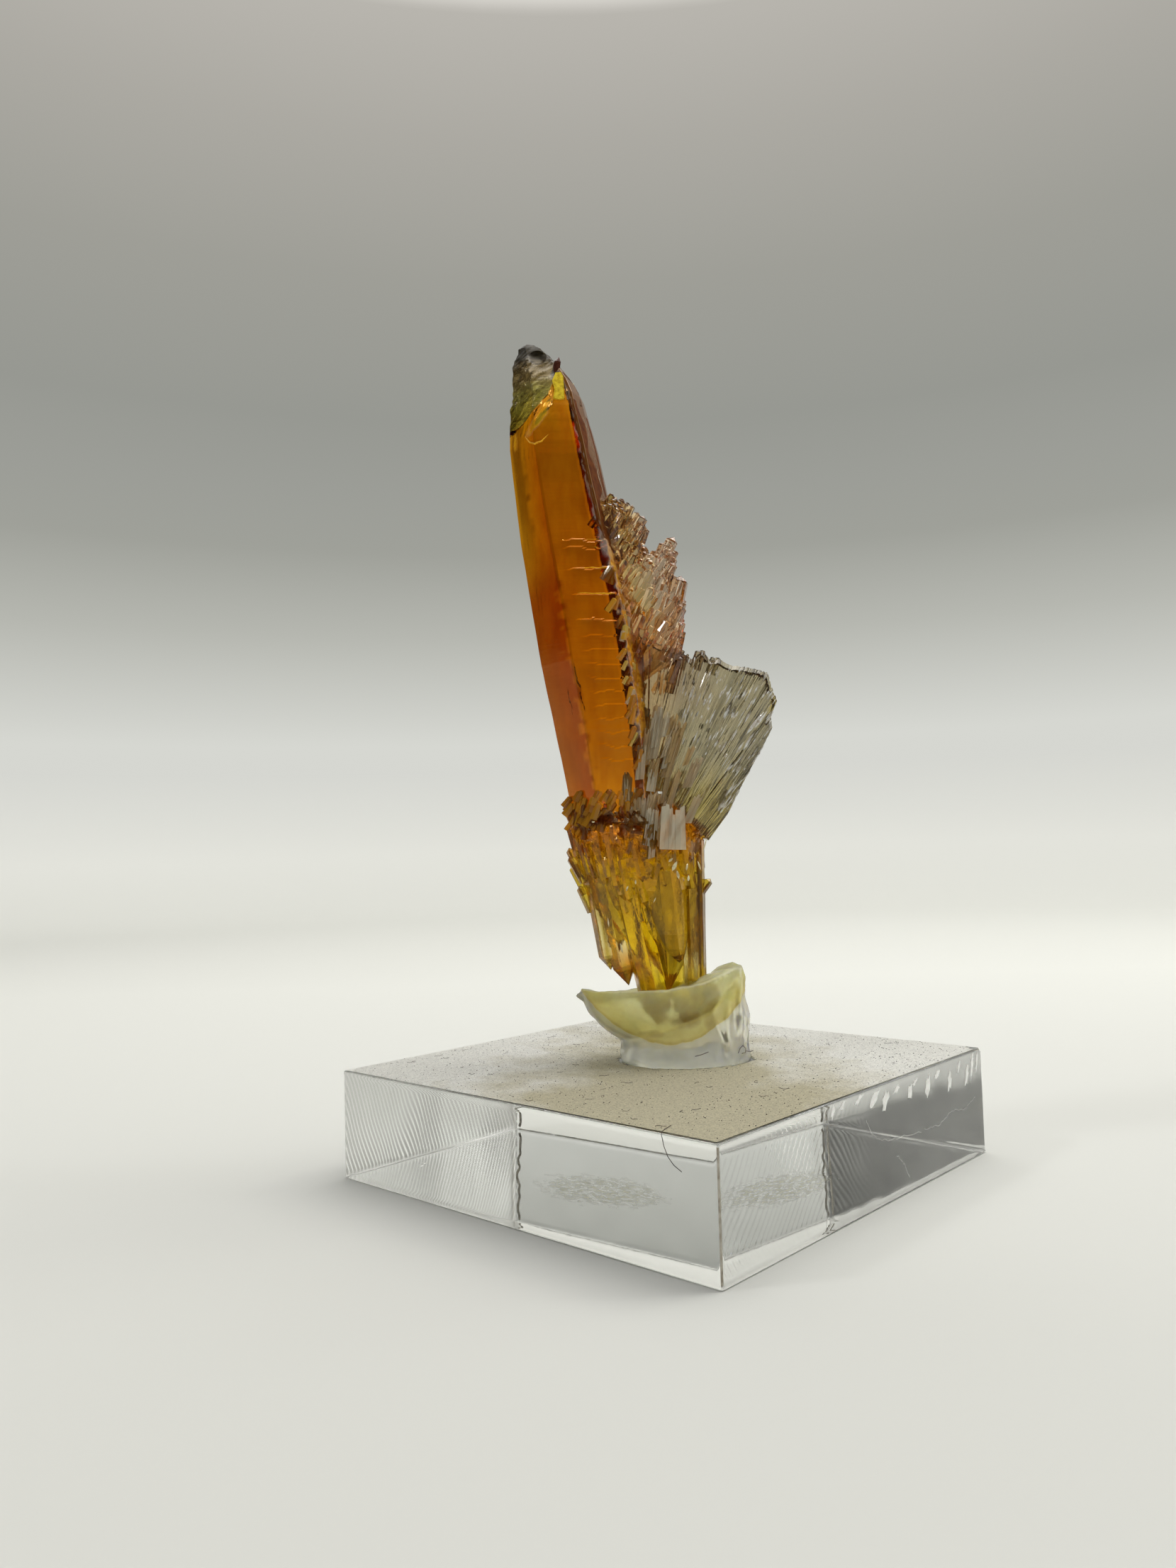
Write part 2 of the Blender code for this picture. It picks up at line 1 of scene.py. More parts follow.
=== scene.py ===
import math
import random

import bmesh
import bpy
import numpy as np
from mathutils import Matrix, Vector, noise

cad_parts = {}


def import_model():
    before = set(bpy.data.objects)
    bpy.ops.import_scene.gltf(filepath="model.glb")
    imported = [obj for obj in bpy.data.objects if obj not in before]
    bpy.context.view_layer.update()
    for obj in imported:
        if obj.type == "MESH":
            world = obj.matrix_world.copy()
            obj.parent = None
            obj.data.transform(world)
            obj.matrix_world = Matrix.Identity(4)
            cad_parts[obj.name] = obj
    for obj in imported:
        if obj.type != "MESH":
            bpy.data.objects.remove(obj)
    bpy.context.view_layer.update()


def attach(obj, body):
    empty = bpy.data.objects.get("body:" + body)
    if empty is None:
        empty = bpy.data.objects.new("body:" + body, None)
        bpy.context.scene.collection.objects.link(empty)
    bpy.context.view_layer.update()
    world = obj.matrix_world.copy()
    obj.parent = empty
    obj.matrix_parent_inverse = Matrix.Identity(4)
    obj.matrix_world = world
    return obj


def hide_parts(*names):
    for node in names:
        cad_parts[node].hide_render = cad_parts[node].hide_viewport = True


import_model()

# The looks of a furnace-grown zincite crystal in a lump of putty on a clear square display block.
#
# Lengths are in millimetres. The crystal and the putty are built in the specimen's own axes: u runs along
# its broad side, from the smooth flank to the needle crust, v runs through its depth, from front to back,
# and z up. SPECIMEN_TURN is the angle from the block's X axis to u, and world() turns such points into the
# frame's metres.

MM = 0.001
FULL_TURN = 2.0 * math.pi
SPECIMEN_TURN = math.radians(42.3)

# Camera at the photograph's place, from the corners of the block
CAMERA_PLACE = (59.97, -74.64, 26.90)
CAMERA_LOOK = (-0.6726, 0.7381, 0.0530)
CAMERA_ROLL = -0.027
CAMERA_LENS = 25.86
CAMERA_SENSOR = 36.0

# Stage: a round floor that curves up into a wall, and the light that the wall gives by height
FLOOR_DROP = 0.03
STAGE_RADIUS = 420.0
STAGE_COVE = 90.0
STAGE_HEIGHT = 640.0
STAGE_SIDES = 96
FLOOR_RINGS = (0.05, 0.1, 0.2, 0.35, 0.5, 0.7, 0.85, 1.0)
COVE_RINGS = 12
FLOOR_COLOUR = (0.82, 0.83, 0.79)
# The floor's colour fades out up to this height, in the cove
FLOOR_END = 60.0
# The floor's colour is lighter at the far side, as painted light: shares of its colour along v
FLOOR_THROUGH = [(0.44, 0.80), (0.53, 0.88), (0.65, 1.0)]
# The wall is bright behind the specimen, dark beside that, brighter still out of the camera's sight on the
# right, and dark in front, as in the room behind the camera. Both ramps run over the wall's direction, from
# -1 to 1: along u and along v.
WALL_ALONG = [
    (-0.80, 0.10), (-0.69, 0.12), (-0.60, 1.0), (0.60, 1.0), (0.64, 0.12), (0.74, 0.12), (0.78, 1.7),
    (0.88, 1.7), (0.94, 4.5), (1.0, 4.5),
]
WALL_THROUGH = [(-0.10, 0.20), (0.40, 1.0)]
WALL_GLOW = [
    (0.0, (0.0, 0.0, 0.0)), (24.0, (0.33, 0.33, 0.31)), (60.0, (0.67, 0.675, 0.635)),
    (73.0, (0.672, 0.679, 0.637)), (122.0, (0.468, 0.474, 0.434)), (161.0, (0.347, 0.352, 0.319)),
    (188.0, (0.332, 0.337, 0.309)), (222.0, (0.309, 0.314, 0.287)), (290.0, (0.345, 0.342, 0.309)),
    (358.0, (0.41, 0.397, 0.361)), (421.0, (0.48, 0.462, 0.423)), (480.0, (2.0, 1.95, 1.85)),
    (640.0, (3.4, 3.3, 3.15)),
]
# Lamps: place, size, power and colour
WHITE = (1.0, 1.0, 1.0)
LAMPS = {
    "overhead": ((60.0, 140.0, 620.0), 420.0, 1.35, (1.0, 0.985, 0.965)),
    "spot_left": ((-150.0, -250.0, 300.0), 40.0, 0.19, WHITE),
    "spot_right": ((190.0, -190.0, 330.0), 36.0, 0.16, WHITE),
    "side_right": ((260.0, 240.0, 260.0), 60.0, 0.12, WHITE),
}
LAMP_TARGET = (0.0, 0.0, 30.0)
SKY_COLOUR = (1.0, 0.985, 0.96)
SKY_STRENGTH = 0.75
LIGHT_PATHS = {
    "max_bounces": 32, "transmission_bounces": 32, "glossy_bounces": 12, "transparent_max_bounces": 24,
    "sample_clamp_indirect": 6.0,
}

# Display block
BLOCK_SIDE = 38.1
BLOCK_HEIGHT = 8.7
BLOCK_EDGE = 0.25
CHIP_RADIUS = 1.1
CHIP_OFFSET = (0.44, 0.33, 0.55)

# Main prism: height, centre along u, and half of the width
PRISM_AXIS = [
    (26.0, -2.6, 3.2), (30.0, -3.72, 3.72), (36.3, -4.33, 4.22), (42.0, -5.17, 4.47), (47.0, -5.85, 4.5),
    (52.5, -6.83, 4.28), (57.0, -7.55, 4.0), (60.6, -8.06, 3.81), (62.6, -8.28, 3.55),
]
# Corners of the prism's section, along u and v, as shares of that half width
PRISM_CORNERS = [
    (-0.40, -0.92), (0.08, -0.86), (0.42, -0.81), (0.66, -0.78), (0.90, -0.22), (1.0, 0.22),
    (0.40, 0.93), (-0.62, 0.80), (-1.0, -0.26), (-0.88, -0.40),
]
# Left and right outline of the melted top, by height
TOP_LEFT = [
    (62.6, -11.83), (63.8, -11.76), (64.7, -11.55), (65.7, -11.49), (67.2, -11.52), (68.5, -11.45),
    (69.15, -11.2), (69.9, -10.98), (70.25, -10.5), (70.4, -10.15),
]
TOP_RIGHT = [
    (62.6, -4.73), (63.1, -4.89), (65.1, -5.40), (66.3, -5.93), (66.9, -6.34), (67.6, -6.83),
    (68.1, -7.2), (68.7, -7.65), (69.2, -8.11), (69.7, -8.66), (70.2, -9.4), (70.4, -9.95),
]
# The melted cap lies on the prism along a slanting break: its height by the place along u
BREAK_LINE = [
    (-12.5, 61.9), (-11.7, 62.1), (-10.3, 62.4), (-9.3, 63.7), (-8.4, 64.8), (-7.6, 67.0), (-4.6, 71.5),
]
BREAK_ROUGHNESS = 0.28
BREAK_START = 59.5


def in_block(points):
    """Points in the specimen's axes, as an array in the block's."""
    spots = np.asarray(points, float).reshape(-1, 3)
    c, s = math.cos(SPECIMEN_TURN), math.sin(SPECIMEN_TURN)
    x = spots[:, 0] * c - spots[:, 1] * s
    y = spots[:, 0] * s + spots[:, 1] * c
    return np.stack([x, y, spots[:, 2]], axis=1)


def in_specimen(x, y):
    """The u and v of a place in the block's axes."""
    c, s = math.cos(SPECIMEN_TURN), math.sin(SPECIMEN_TURN)
    return x * c + y * s, y * c - x * s


def world(points):
    """Points in the specimen's axes and millimetres, as an array in the frame's metres."""
    return in_block(points) * MM


def wave(place, scale, seed=0.0):
    """Smooth noise from -1 to 1 at a place, whose bumps are about scale millimetres wide."""
    x, y, z = place
    return noise.noise(Vector((x / scale + seed, y / scale - seed, z / scale + 2.0 * seed)))


def patchy(place, scale, seed=0.0):
    """The same noise from 0 to 1."""
    return 0.5 + 0.5 * wave(place, scale, seed)


def waves(spots, scale, seed=0.0):
    """The same noise for a whole array of places."""
    return np.array([wave(spot, scale, seed) for spot in np.asarray(spots, float)])


def ease(low, high, value):
    """0 below low, 1 above high, and a smooth rise between them."""
    share = np.clip((np.asarray(value, float) - low) / (high - low), 0.0, 1.0)
    return share * share * (3.0 - 2.0 * share)


def turns(count):
    """Angles evenly round a full turn."""
    return [FULL_TURN * i / count for i in range(count)]


def paint(mesh, tints):
    """Keep colours at a mesh's points, which its material reads."""
    layer = mesh.color_attributes.new("tint", "FLOAT_COLOR", "POINT")
    layer.data.foreach_set("color", np.asarray(tints, np.float32).ravel())


def make_mesh(name, spots, faces, material, tints=None, smooth=False, turned=True):
    """A new object from points in millimetres. turned points are in the specimen's axes."""
    places = world(spots) if turned else np.asarray(spots, float) * MM
    mesh = bpy.data.meshes.new(name)
    mesh.from_pydata(places.tolist(), [], faces)
    if tints is not None:
        paint(mesh, tints)
    mesh.polygons.foreach_set("use_smooth", [smooth] * len(mesh.polygons))
    mesh.materials.append(material)
    mesh.validate()
    thing = bpy.data.objects.new(name, mesh)
    bpy.context.scene.collection.objects.link(thing)
    return thing


def outward(thing):
    """Turn a closed mesh's faces outward."""
    shape = bmesh.new()
    shape.from_mesh(thing.data)
    bmesh.ops.recalc_face_normals(shape, faces=shape.faces)
    shape.to_mesh(thing.data)
    shape.free()
    return thing


def loft_faces(levels, count):
    """The quads between rings of points."""
    faces = []
    for level in range(levels - 1):
        low = level * count
        for i in range(count):
            j = (i + 1) % count
            faces.append((low + i, low + j, low + count + j, low + count + i))
    return faces


def loft(rings, first, last):
    """Points and faces of one closed solid through a row of rings, with a point at each end."""
    rings = np.asarray(rings, float)
    levels, count = rings.shape[:2]
    spots = np.concatenate([rings.reshape(-1, 3), [first, last]])
    faces = loft_faces(levels, count)
    foot, top = levels * count, levels * count + 1
    high = (levels - 1) * count
    for i in range(count):
        j = (i + 1) % count
        faces.append((foot, j, i))
        faces.append((top, high + i, high + j))
    return spots, faces


def joined(parts):
    """Several (points, faces) as one, without merging them."""
    spots, faces, base = [], [], 0
    for part_spots, part_faces in parts:
        spots.append(np.asarray(part_spots, float))
        faces += [tuple(base + i for i in face) for face in part_faces]
        base += len(part_spots)
    return np.concatenate(spots), faces


class Graph:
    """Short words for building one material's nodes. Its coordinates are the specimen's, in millimetres."""

    def __init__(self, name, turned=True):
        self.material = bpy.data.materials.new(name)
        self.material.use_nodes = True
        self.tree = self.material.node_tree
        self.shader = self.tree.nodes["Principled BSDF"]
        self.output = self.tree.nodes["Material Output"]
        place = self.node("ShaderNodeTexCoord")
        turn = self.node("ShaderNodeMapping")
        turn.inputs["Scale"].default_value = (1.0 / MM,) * 3
        turn.inputs["Rotation"].default_value = (0.0, 0.0, -SPECIMEN_TURN if turned else 0.0)
        self.link(place.outputs["Object"], turn.inputs["Vector"])
        self.place = turn.outputs["Vector"]

    def node(self, kind):
        return self.tree.nodes.new(kind)

    def link(self, source, target):
        self.tree.links.new(source, target)

    def give(self, socket, value):
        """Put a number, a colour or another node's output on a socket."""
        if isinstance(value, bpy.types.NodeSocket):
            self.link(value, socket)
        elif isinstance(value, tuple) and len(value) == 3 and len(socket.default_value) == 4:
            socket.default_value = (*value, 1.0)
        else:
            socket.default_value = value

    def set(self, name, value):
        self.give(self.shader.inputs[name], value)

    def stretched(self, stretch, turn=(0.0, 0.0, 0.0)):
        """Coordinates turned and stretched, for noise that runs along a direction."""
        mapping = self.node("ShaderNodeMapping")
        mapping.inputs["Scale"].default_value = stretch
        mapping.inputs["Rotation"].default_value = turn
        self.link(self.place, mapping.inputs["Vector"])
        return mapping.outputs["Vector"]

    def noise(self, size, detail=3.0, rough=0.5, warp=0.0, along=None):
        """Noise from 0 to 1 whose bumps are about size millimetres wide."""
        made = self.node("ShaderNodeTexNoise")
        made.inputs["Scale"].default_value = 1.0 / size
        made.inputs["Detail"].default_value = detail
        made.inputs["Roughness"].default_value = rough
        made.inputs["Distortion"].default_value = warp
        self.link(along or self.place, made.inputs["Vector"])
        return made.outputs["Fac"]

    def ramp(self, value, stops):
        """A colour ramp. stops are places from 0 to 1 with a colour or a grey."""
        made = self.node("ShaderNodeValToRGB")
        bar = made.color_ramp
        for i, (spot, colour) in enumerate(stops):
            element = bar.elements[i] if i < 2 else bar.elements.new(spot)
            element.position = spot
            shade = colour if isinstance(colour, tuple) else (colour,) * 3
            element.color = (*shade, 1.0)
        self.link(value, made.inputs["Fac"])
        return made.outputs["Color"]

    def mix(self, share, a, b, kind="MIX"):
        """Mix two colours."""
        made = self.node("ShaderNodeMix")
        made.data_type = "RGBA"
        made.blend_type = kind
        self.give(made.inputs["Factor"], share)
        self.give(made.inputs[6], a)
        self.give(made.inputs[7], b)
        return made.outputs[2]

    def math(self, kind, a, b=0.0):
        made = self.node("ShaderNodeMath")
        made.operation = kind
        self.give(made.inputs[0], a)
        self.give(made.inputs[1], b)
        return made.outputs[0]

    def plus(self, a, b):
        return self.math("ADD", a, b)

    def minus(self, a, b):
        return self.math("SUBTRACT", a, b)

    def times(self, a, b):
        return self.math("MULTIPLY", a, b)

    def over(self, a, b):
        return self.math("DIVIDE", a, b)

    def axis(self, name):
        """One coordinate, in millimetres."""
        made = self.node("ShaderNodeSeparateXYZ")
        self.link(self.place, made.inputs[0])
        return made.outputs[name]

    def square(self, name, centre=0.0, reach=1.0):
        """The square of a coordinate's distance from a centre, as a share of a reach."""
        return self.math("POWER", self.over(self.minus(self.axis(name), centre), reach), 2.0)

    def tint(self, part="Color"):
        """The colours kept at the mesh's points, or their fourth number."""
        made = self.node("ShaderNodeAttribute")
        made.attribute_name = "tint"
        return made.outputs[part]

    def bump(self, height, strength, distance):
        made = self.node("ShaderNodeBump")
        made.inputs["Strength"].default_value = strength
        made.inputs["Distance"].default_value = distance * MM
        self.link(height, made.inputs["Height"])
        self.link(made.outputs["Normal"], self.shader.inputs["Normal"])

    def absorb(self, colour, density):
        """Plain absorption inside the piece. density is per millimetre."""
        made = self.node("ShaderNodeVolumeAbsorption")
        made.inputs["Color"].default_value = (*colour, 1.0)
        made.inputs["Density"].default_value = density / MM
        self.link(made.outputs["Volume"], self.output.inputs["Volume"])


def clear(name, ior, rough, turned=True, shine=WHITE):
    """A see-through material, ready for its own colour. shine is the colour of its reflections."""
    graph = Graph(name, turned)
    graph.set("Specular Tint", shine)
    graph.set("Transmission Weight", 1.0)
    graph.set("IOR", ior)
    graph.set("Roughness", rough)
    return graph


def camera():
    """The camera, at the photograph's viewing angle."""
    look = Vector(CAMERA_LOOK).normalized()
    right = look.cross(Vector((0.0, 0.0, 1.0))).normalized()
    up = right.cross(look)
    right, up = (
        right * math.cos(CAMERA_ROLL) + up * math.sin(CAMERA_ROLL),
        up * math.cos(CAMERA_ROLL) - right * math.sin(CAMERA_ROLL),
    )
    data = bpy.data.cameras.new("camera")
    data.sensor_width = CAMERA_SENSOR
    data.lens = CAMERA_LENS
    data.clip_start = 0.001
    data.clip_end = 10.0
    thing = bpy.data.objects.new("camera", data)
    placed = Matrix((right, up, -look)).transposed().to_4x4()
    placed.translation = Vector(CAMERA_PLACE) * MM
    thing.matrix_world = placed
    bpy.context.scene.collection.objects.link(thing)
    bpy.context.scene.camera = thing


def stage_material():
    """Pale matte floor that turns into a softly glowing wall."""
    graph = Graph("stage")
    height = graph.over(graph.axis("Z"), STAGE_HEIGHT)
    glow = graph.ramp(height, [(z / STAGE_HEIGHT, colour) for z, colour in WALL_GLOW])
    floor = graph.ramp(height, [(0.0, FLOOR_COLOUR), (FLOOR_END / STAGE_HEIGHT, (0.0, 0.0, 0.0))])
    along, through = (graph.plus(graph.times(graph.axis(name), 0.5 / STAGE_RADIUS), 0.5) for name in "XY")
    graph.set("Base Color", graph.mix(1.0, floor, graph.ramp(through, FLOOR_THROUGH), "MULTIPLY"))
    graph.set("Roughness", 0.9)
    graph.set("Specular IOR Level", 0.0)
    for way, stops in ((along, WALL_ALONG), (through, WALL_THROUGH)):
        shade = graph.ramp(way, [(0.5 + 0.5 * place, share) for place, share in stops])
        glow = graph.mix(1.0, glow, shade, "MULTIPLY")
    graph.set("Emission Color", glow)
    graph.set("Emission Strength", 1.0)
    return graph.material


def stage():
    """The round floor and wall."""
    flat = STAGE_RADIUS - STAGE_COVE
    profile = [(flat * share, 0.0) for share in FLOOR_RINGS]
    for k in range(1, COVE_RINGS + 1):
        angle = 0.5 * math.pi * k / COVE_RINGS
        profile.append((flat + STAGE_COVE * math.sin(angle), STAGE_COVE * (1.0 - math.cos(angle))))
    profile.append((STAGE_RADIUS, STAGE_HEIGHT))
    spots = []
    for radius, height in profile:
        for angle in turns(STAGE_SIDES):
            spots.append((radius * math.cos(angle), radius * math.sin(angle), height - FLOOR_DROP))
    faces = loft_faces(len(profile), STAGE_SIDES)
    faces.append(tuple(range(STAGE_SIDES)))
    floor = make_mesh("stage_floor", spots, faces, stage_material(), smooth=True, turned=False)


def lamp(name, place, size, power, colour):
    """A soft square lamp that looks at the specimen."""
    data = bpy.data.lights.new(name, "AREA")
    data.size = size * MM
    data.energy = power
    data.color = colour
    thing = bpy.data.objects.new(name, data)
    thing.location = Vector(place) * MM
    thing.rotation_mode = "QUATERNION"
    thing.rotation_quaternion = (Vector(LAMP_TARGET) - Vector(place)).to_track_quat("-Z", "Y")
    bpy.context.scene.collection.objects.link(thing)


def light():
    """Soft studio light from above, and the view settings."""
    for name, values in LAMPS.items():
        lamp(name, *values)
    sky = bpy.data.worlds.new("sky")
    sky.use_nodes = True
    background = sky.node_tree.nodes["Background"]
    background.inputs["Color"].default_value = (*SKY_COLOUR, 1.0)
    background.inputs["Strength"].default_value = SKY_STRENGTH
    scene = bpy.context.scene
    scene.world = sky
    scene.view_settings.view_transform = "Standard"
    for name, value in LIGHT_PATHS.items():
        setattr(scene.cycles, name, value)


# The clear block

BLOCK_SIDE_STEP = 0.15
BLOCK_LEVEL_STEP = 0.15
SAW_DEPTH = 0.11
SAW_PERIOD = 0.62
# How far the near faces lie inside the block's size, to leave room for the marks on them
SKIN_ROOM = 0.05
SAW_SLOPE = math.radians(33.0)
# Depth of the broad waves on the sawn sides and on the polished ones
BACK_WAVES = 0.06
FRONT_WAVES = 0.004
SAWN_ROUGHNESS = 0.42
SMEAR_RADIUS = 6.5
# The share of the underside that is matt white from scratches
UNDERSIDE_HAZE = 0.04
TOP_INSETS = (0.15, 0.3, 0.45, 0.6, 0.8, 1.0, 1.3, 2.5, 8.0, 14.0)


def block_rim(inset):
    """Points round the block's outline with small rounded corners, with each point's outward direction."""
    half = BLOCK_SIDE / 2.0 - inset
    round_off = max(BLOCK_EDGE - 0.4 * inset, 0.02)
    count = int((BLOCK_SIDE - 2.0 * BLOCK_EDGE) / BLOCK_SIDE_STEP)
    spots, ways = [], []
    for turn in range(4):
        c, s = round(math.cos(0.5 * math.pi * turn)), round(math.sin(0.5 * math.pi * turn))
        for i in range(count + 1):
            along = (half - round_off) * (2.0 * i / count - 1.0)
            spots.append((half * c - along * s, half * s + along * c))
            ways.append((c, s))
        for k in (1, 2):
            angle = 0.5 * math.pi * (turn + k / 3.0)
            centre = (half - round_off) * (c - s), (half - round_off) * (s + c)
            spots.append((centre[0] + round_off * math.cos(angle), centre[1] + round_off * math.sin(angle)))
            ways.append((math.cos(angle), math.sin(angle)))
    return np.array(spots), np.array(ways)


def saw_marks(spots, ways):
    """How deep the saw cut into each point of the block's sides."""
    along = spots[:, 0] * -ways[:, 1] + spots[:, 1] * ways[:, 0]
    height = spots[:, 2]
    left = ways[:, 0] < -0.7
    back = left | (ways[:, 1] > 0.7)

    def side_noise(scale, seed, by_x, by_y):
        """Noise over the sides, with another pattern on each."""
        return waves(np.column_stack([along, height, by_x * ways[:, 0] + by_y * ways[:, 1]]), scale, seed)

    bend = 0.5 * side_noise(5.0, 0.0, 3.0, 5.0)
    phase = (along * math.cos(SAW_SLOPE) - height * math.sin(SAW_SLOPE) + bend) / SAW_PERIOD
    ridge = 0.5 + 0.5 * np.sin(FULL_TURN * phase)
    strength = np.where(left, 0.35 + 0.65 * ease(-0.25, 0.35, side_noise(9.0, 3.3, 9.0, 4.0)), 0.0)
    broad = np.where(back, BACK_WAVES, FRONT_WAVES) * (0.5 + 0.5 * side_noise(3.0, 8.1, 7.0, 2.0))
    return SAW_DEPTH * strength * ridge + broad + np.where(back, 0.0, SKIN_ROOM)


def block_material():
    """Clear acrylic, rough where the saw went, with yellow smears on its underside."""
    graph = clear("clear_acrylic", 1.49, 0.02, turned=False)
    fine = graph.noise(0.35, 3.0, 0.7)
    side = BLOCK_SIDE / 2.0 - 0.2
    left = graph.math("LESS_THAN", graph.axis("X"), -side)
    back = graph.times(graph.math("GREATER_THAN", graph.axis("Y"), side), 0.2)
    sawn = graph.times(graph.math("MAXIMUM", left, back), SAWN_ROUGHNESS)
    graph.set("Roughness", graph.plus(sawn, graph.times(fine, 0.03)))
    away = graph.math("SQRT", graph.plus(graph.square("X"), graph.square("Y")))
    ragged = graph.plus(graph.over(away, SMEAR_RADIUS), graph.times(graph.noise(2.2, 5.0, 0.65), 1.1))
    smear = graph.ramp(graph.times(ragged, 0.5), [(0.56, 1.0), (0.80, 0.0)])
    underside = graph.math("LESS_THAN", graph.axis("Z"), 0.05)
    grain = graph.ramp(graph.noise(0.9, 5.0, 0.75), [(0.42, 0.05), (0.58, 1.0)])
    smear = graph.times(graph.times(smear, underside), grain)
    graph.set("Base Color", graph.mix(smear, (0.992, 0.994, 0.985), (0.86, 0.80, 0.46)))
    haze = graph.math("MAXIMUM", graph.times(underside, UNDERSIDE_HAZE), graph.times(smear, 0.8))
    graph.set("Transmission Weight", graph.minus(1.0, haze))
    graph.bump(graph.noise(0.5, 2.0, 0.6), 0.05, 0.01)
    graph.absorb((0.55, 0.62, 0.50), 0.0015)
    return graph.material


def block():
    """The clear block: polished top, sawn sides, softened edges and a chipped corner."""
    rounding = BLOCK_EDGE * 0.5
    curve = []
    for k in range(3):
        angle = 0.5 * math.pi * k / 3
        curve.append((rounding * (1.0 - math.sin(angle)), rounding * (1.0 - math.cos(angle))))
    count = int((BLOCK_HEIGHT - BLOCK_EDGE) / BLOCK_LEVEL_STEP)
    rows = [(inset, 0.0) for inset in TOP_INSETS[::-1]] + curve
    rows += [(0.0, rounding + (BLOCK_HEIGHT - BLOCK_EDGE) * k / count) for k in range(count + 1)]
    rows += [(inset, BLOCK_HEIGHT - height) for inset, height in curve[::-1]]
    rows += [(inset, BLOCK_HEIGHT) for inset in TOP_INSETS]
    rings = []
    for inset, height in rows:
        flat, ways = block_rim(inset)
        ring = np.column_stack([flat, np.full(len(flat), height)])
        if inset < 0.2 and BLOCK_EDGE * 0.4 < height < BLOCK_HEIGHT - BLOCK_EDGE * 0.4:
            fade = min(1.0, (height - 0.1) / 0.3, (BLOCK_HEIGHT - 0.1 - height) / 0.3)
            ring[:, :2] -= ways * (saw_marks(ring, ways) * max(fade, 0.0))[:, None]
        rings.append(ring)
    spots, faces = loft(rings, (0.0, 0.0, 0.0), (0.0, 0.0, BLOCK_HEIGHT))
    centre = np.array([BLOCK_SIDE / 2.0, BLOCK_SIDE / 2.0, BLOCK_HEIGHT]) + np.array(CHIP_OFFSET)
    away = spots - centre
    reach = np.linalg.norm(away, axis=1)
    struck = reach < CHIP_RADIUS
    rim = CHIP_RADIUS * (1.0 + 0.12 * waves(spots[struck], 0.35))
    spots[struck] = centre + away[struck] / reach[struck, None] * rim[:, None]
    spots[:, 2] = np.minimum(spots[:, 2], BLOCK_HEIGHT)
    spots[:, :2] = np.clip(spots[:, :2], -BLOCK_SIDE / 2.0, BLOCK_SIDE / 2.0)
    piece = outward(make_mesh("clear_block", spots, faces, block_material(), smooth=True, turned=False))
    piece.data.set_sharp_from_angle(angle=math.radians(28.0))
    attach(piece, "root")
    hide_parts("acrylic_base")


# White flakes along the upper edge of the block's right face: y, height, length, width and lean
FLAKES = [
    (-5.6, 8.05, 0.9, 0.35, 0.3), (-4.3, 8.2, 0.7, 0.3, 0.8), (-2.0, 8.2, 0.9, 0.25, 1.1),
    (0.4, 7.9, 1.3, 0.5, 0.9), (1.9, 7.4, 1.2, 0.6, 0.7), (3.6, 7.9, 0.8, 0.3, 1.2),
    (5.8, 7.3, 1.0, 0.5, 0.3),
    (6.6, 7.9, 0.7, 0.3, 0.9), (8.8, 7.3, 1.3, 0.6, 0.4), (10.4, 7.9, 0.9, 0.35, 1.0),
    (12.6, 7.0, 1.2, 0.5, 0.2), (14.4, 7.8, 0.8, 0.3, 0.6), (15.9, 6.9, 1.8, 0.4, 0.35),
    (16.9, 7.4, 2.0, 0.3, 0.3), (17.9, 7.7, 1.4, 0.25, 0.3),
]
FLAKE_THICKNESS = 0.03
# Pale cracks inside the same face: y and height
CRACKS = [
    [(-6.3, 8.3), (-6.1, 7.2), (-6.6, 6.0), (-6.3, 4.9), (-6.8, 3.6), (-6.5, 2.2), (-6.9, 0.6)],
    [(-1.0, 6.6), (-0.2, 5.4), (0.9, 4.8), (2.4, 4.4), (4.6, 4.3), (7.4, 4.0)],
    [(8.0, 4.1), (10.5, 3.9), (13.0, 4.6), (15.2, 4.2), (17.4, 4.9)],
    [(3.4, 3.1), (4.5, 2.2), (5.2, 1.1)],
]
CRACK_RADIUS = 0.022
# Grime on the block's upright edges: x, y, top and radius
GRIMY_EDGES = [(18.93, -18.93, 8.45, 0.10), (-18.6, 18.6, 8.3, 0.16)]


def flakes():
    """Broken white flakes and fine pale cracks just inside the block's right face."""
    draw = random.Random(31)
    inside = BLOCK_SIDE / 2.0 - 0.01
    parts = []
    for y, z, length, width, lean in FLAKES:
        along = np.array([0.0, math.sin(lean), math.cos(lean)])
        wide = np.array([0.0, math.cos(lean), -math.sin(lean)])
        ring = []
        for angle in turns(14):
            grow = draw.uniform(0.7, 1.7)
            reach = length * math.cos(angle) * along + width * math.sin(angle) * wide
            spot = np.array([inside, y, z]) + grow * 0.5 * reach
            spot[2] = min(spot[2], BLOCK_HEIGHT - 0.12)
            ring.append(spot)
        under = [spot - np.array([FLAKE_THICKNESS, 0.0, 0.0]) for spot in ring]
        parts.append(loft([under, ring], np.mean(under, axis=0), np.mean(ring, axis=0)))
    for crack in CRACKS:
        points = []
        for k in range(31):
            y, z = on_row(crack, k / 30)
            y += 0.08 * draw.uniform(-1.0, 1.0)
            z += 0.08 * draw.uniform(-1.0, 1.0)
            points.append((inside - 0.10, y, z))
        parts.append(tube(points, CRACK_RADIUS))
    dirt_mesh("edge_flakes", parts, flaw_material("white_flaw", 0.3, (0.86, 0.86, 0.83), (0.99, 0.99, 0.97)))


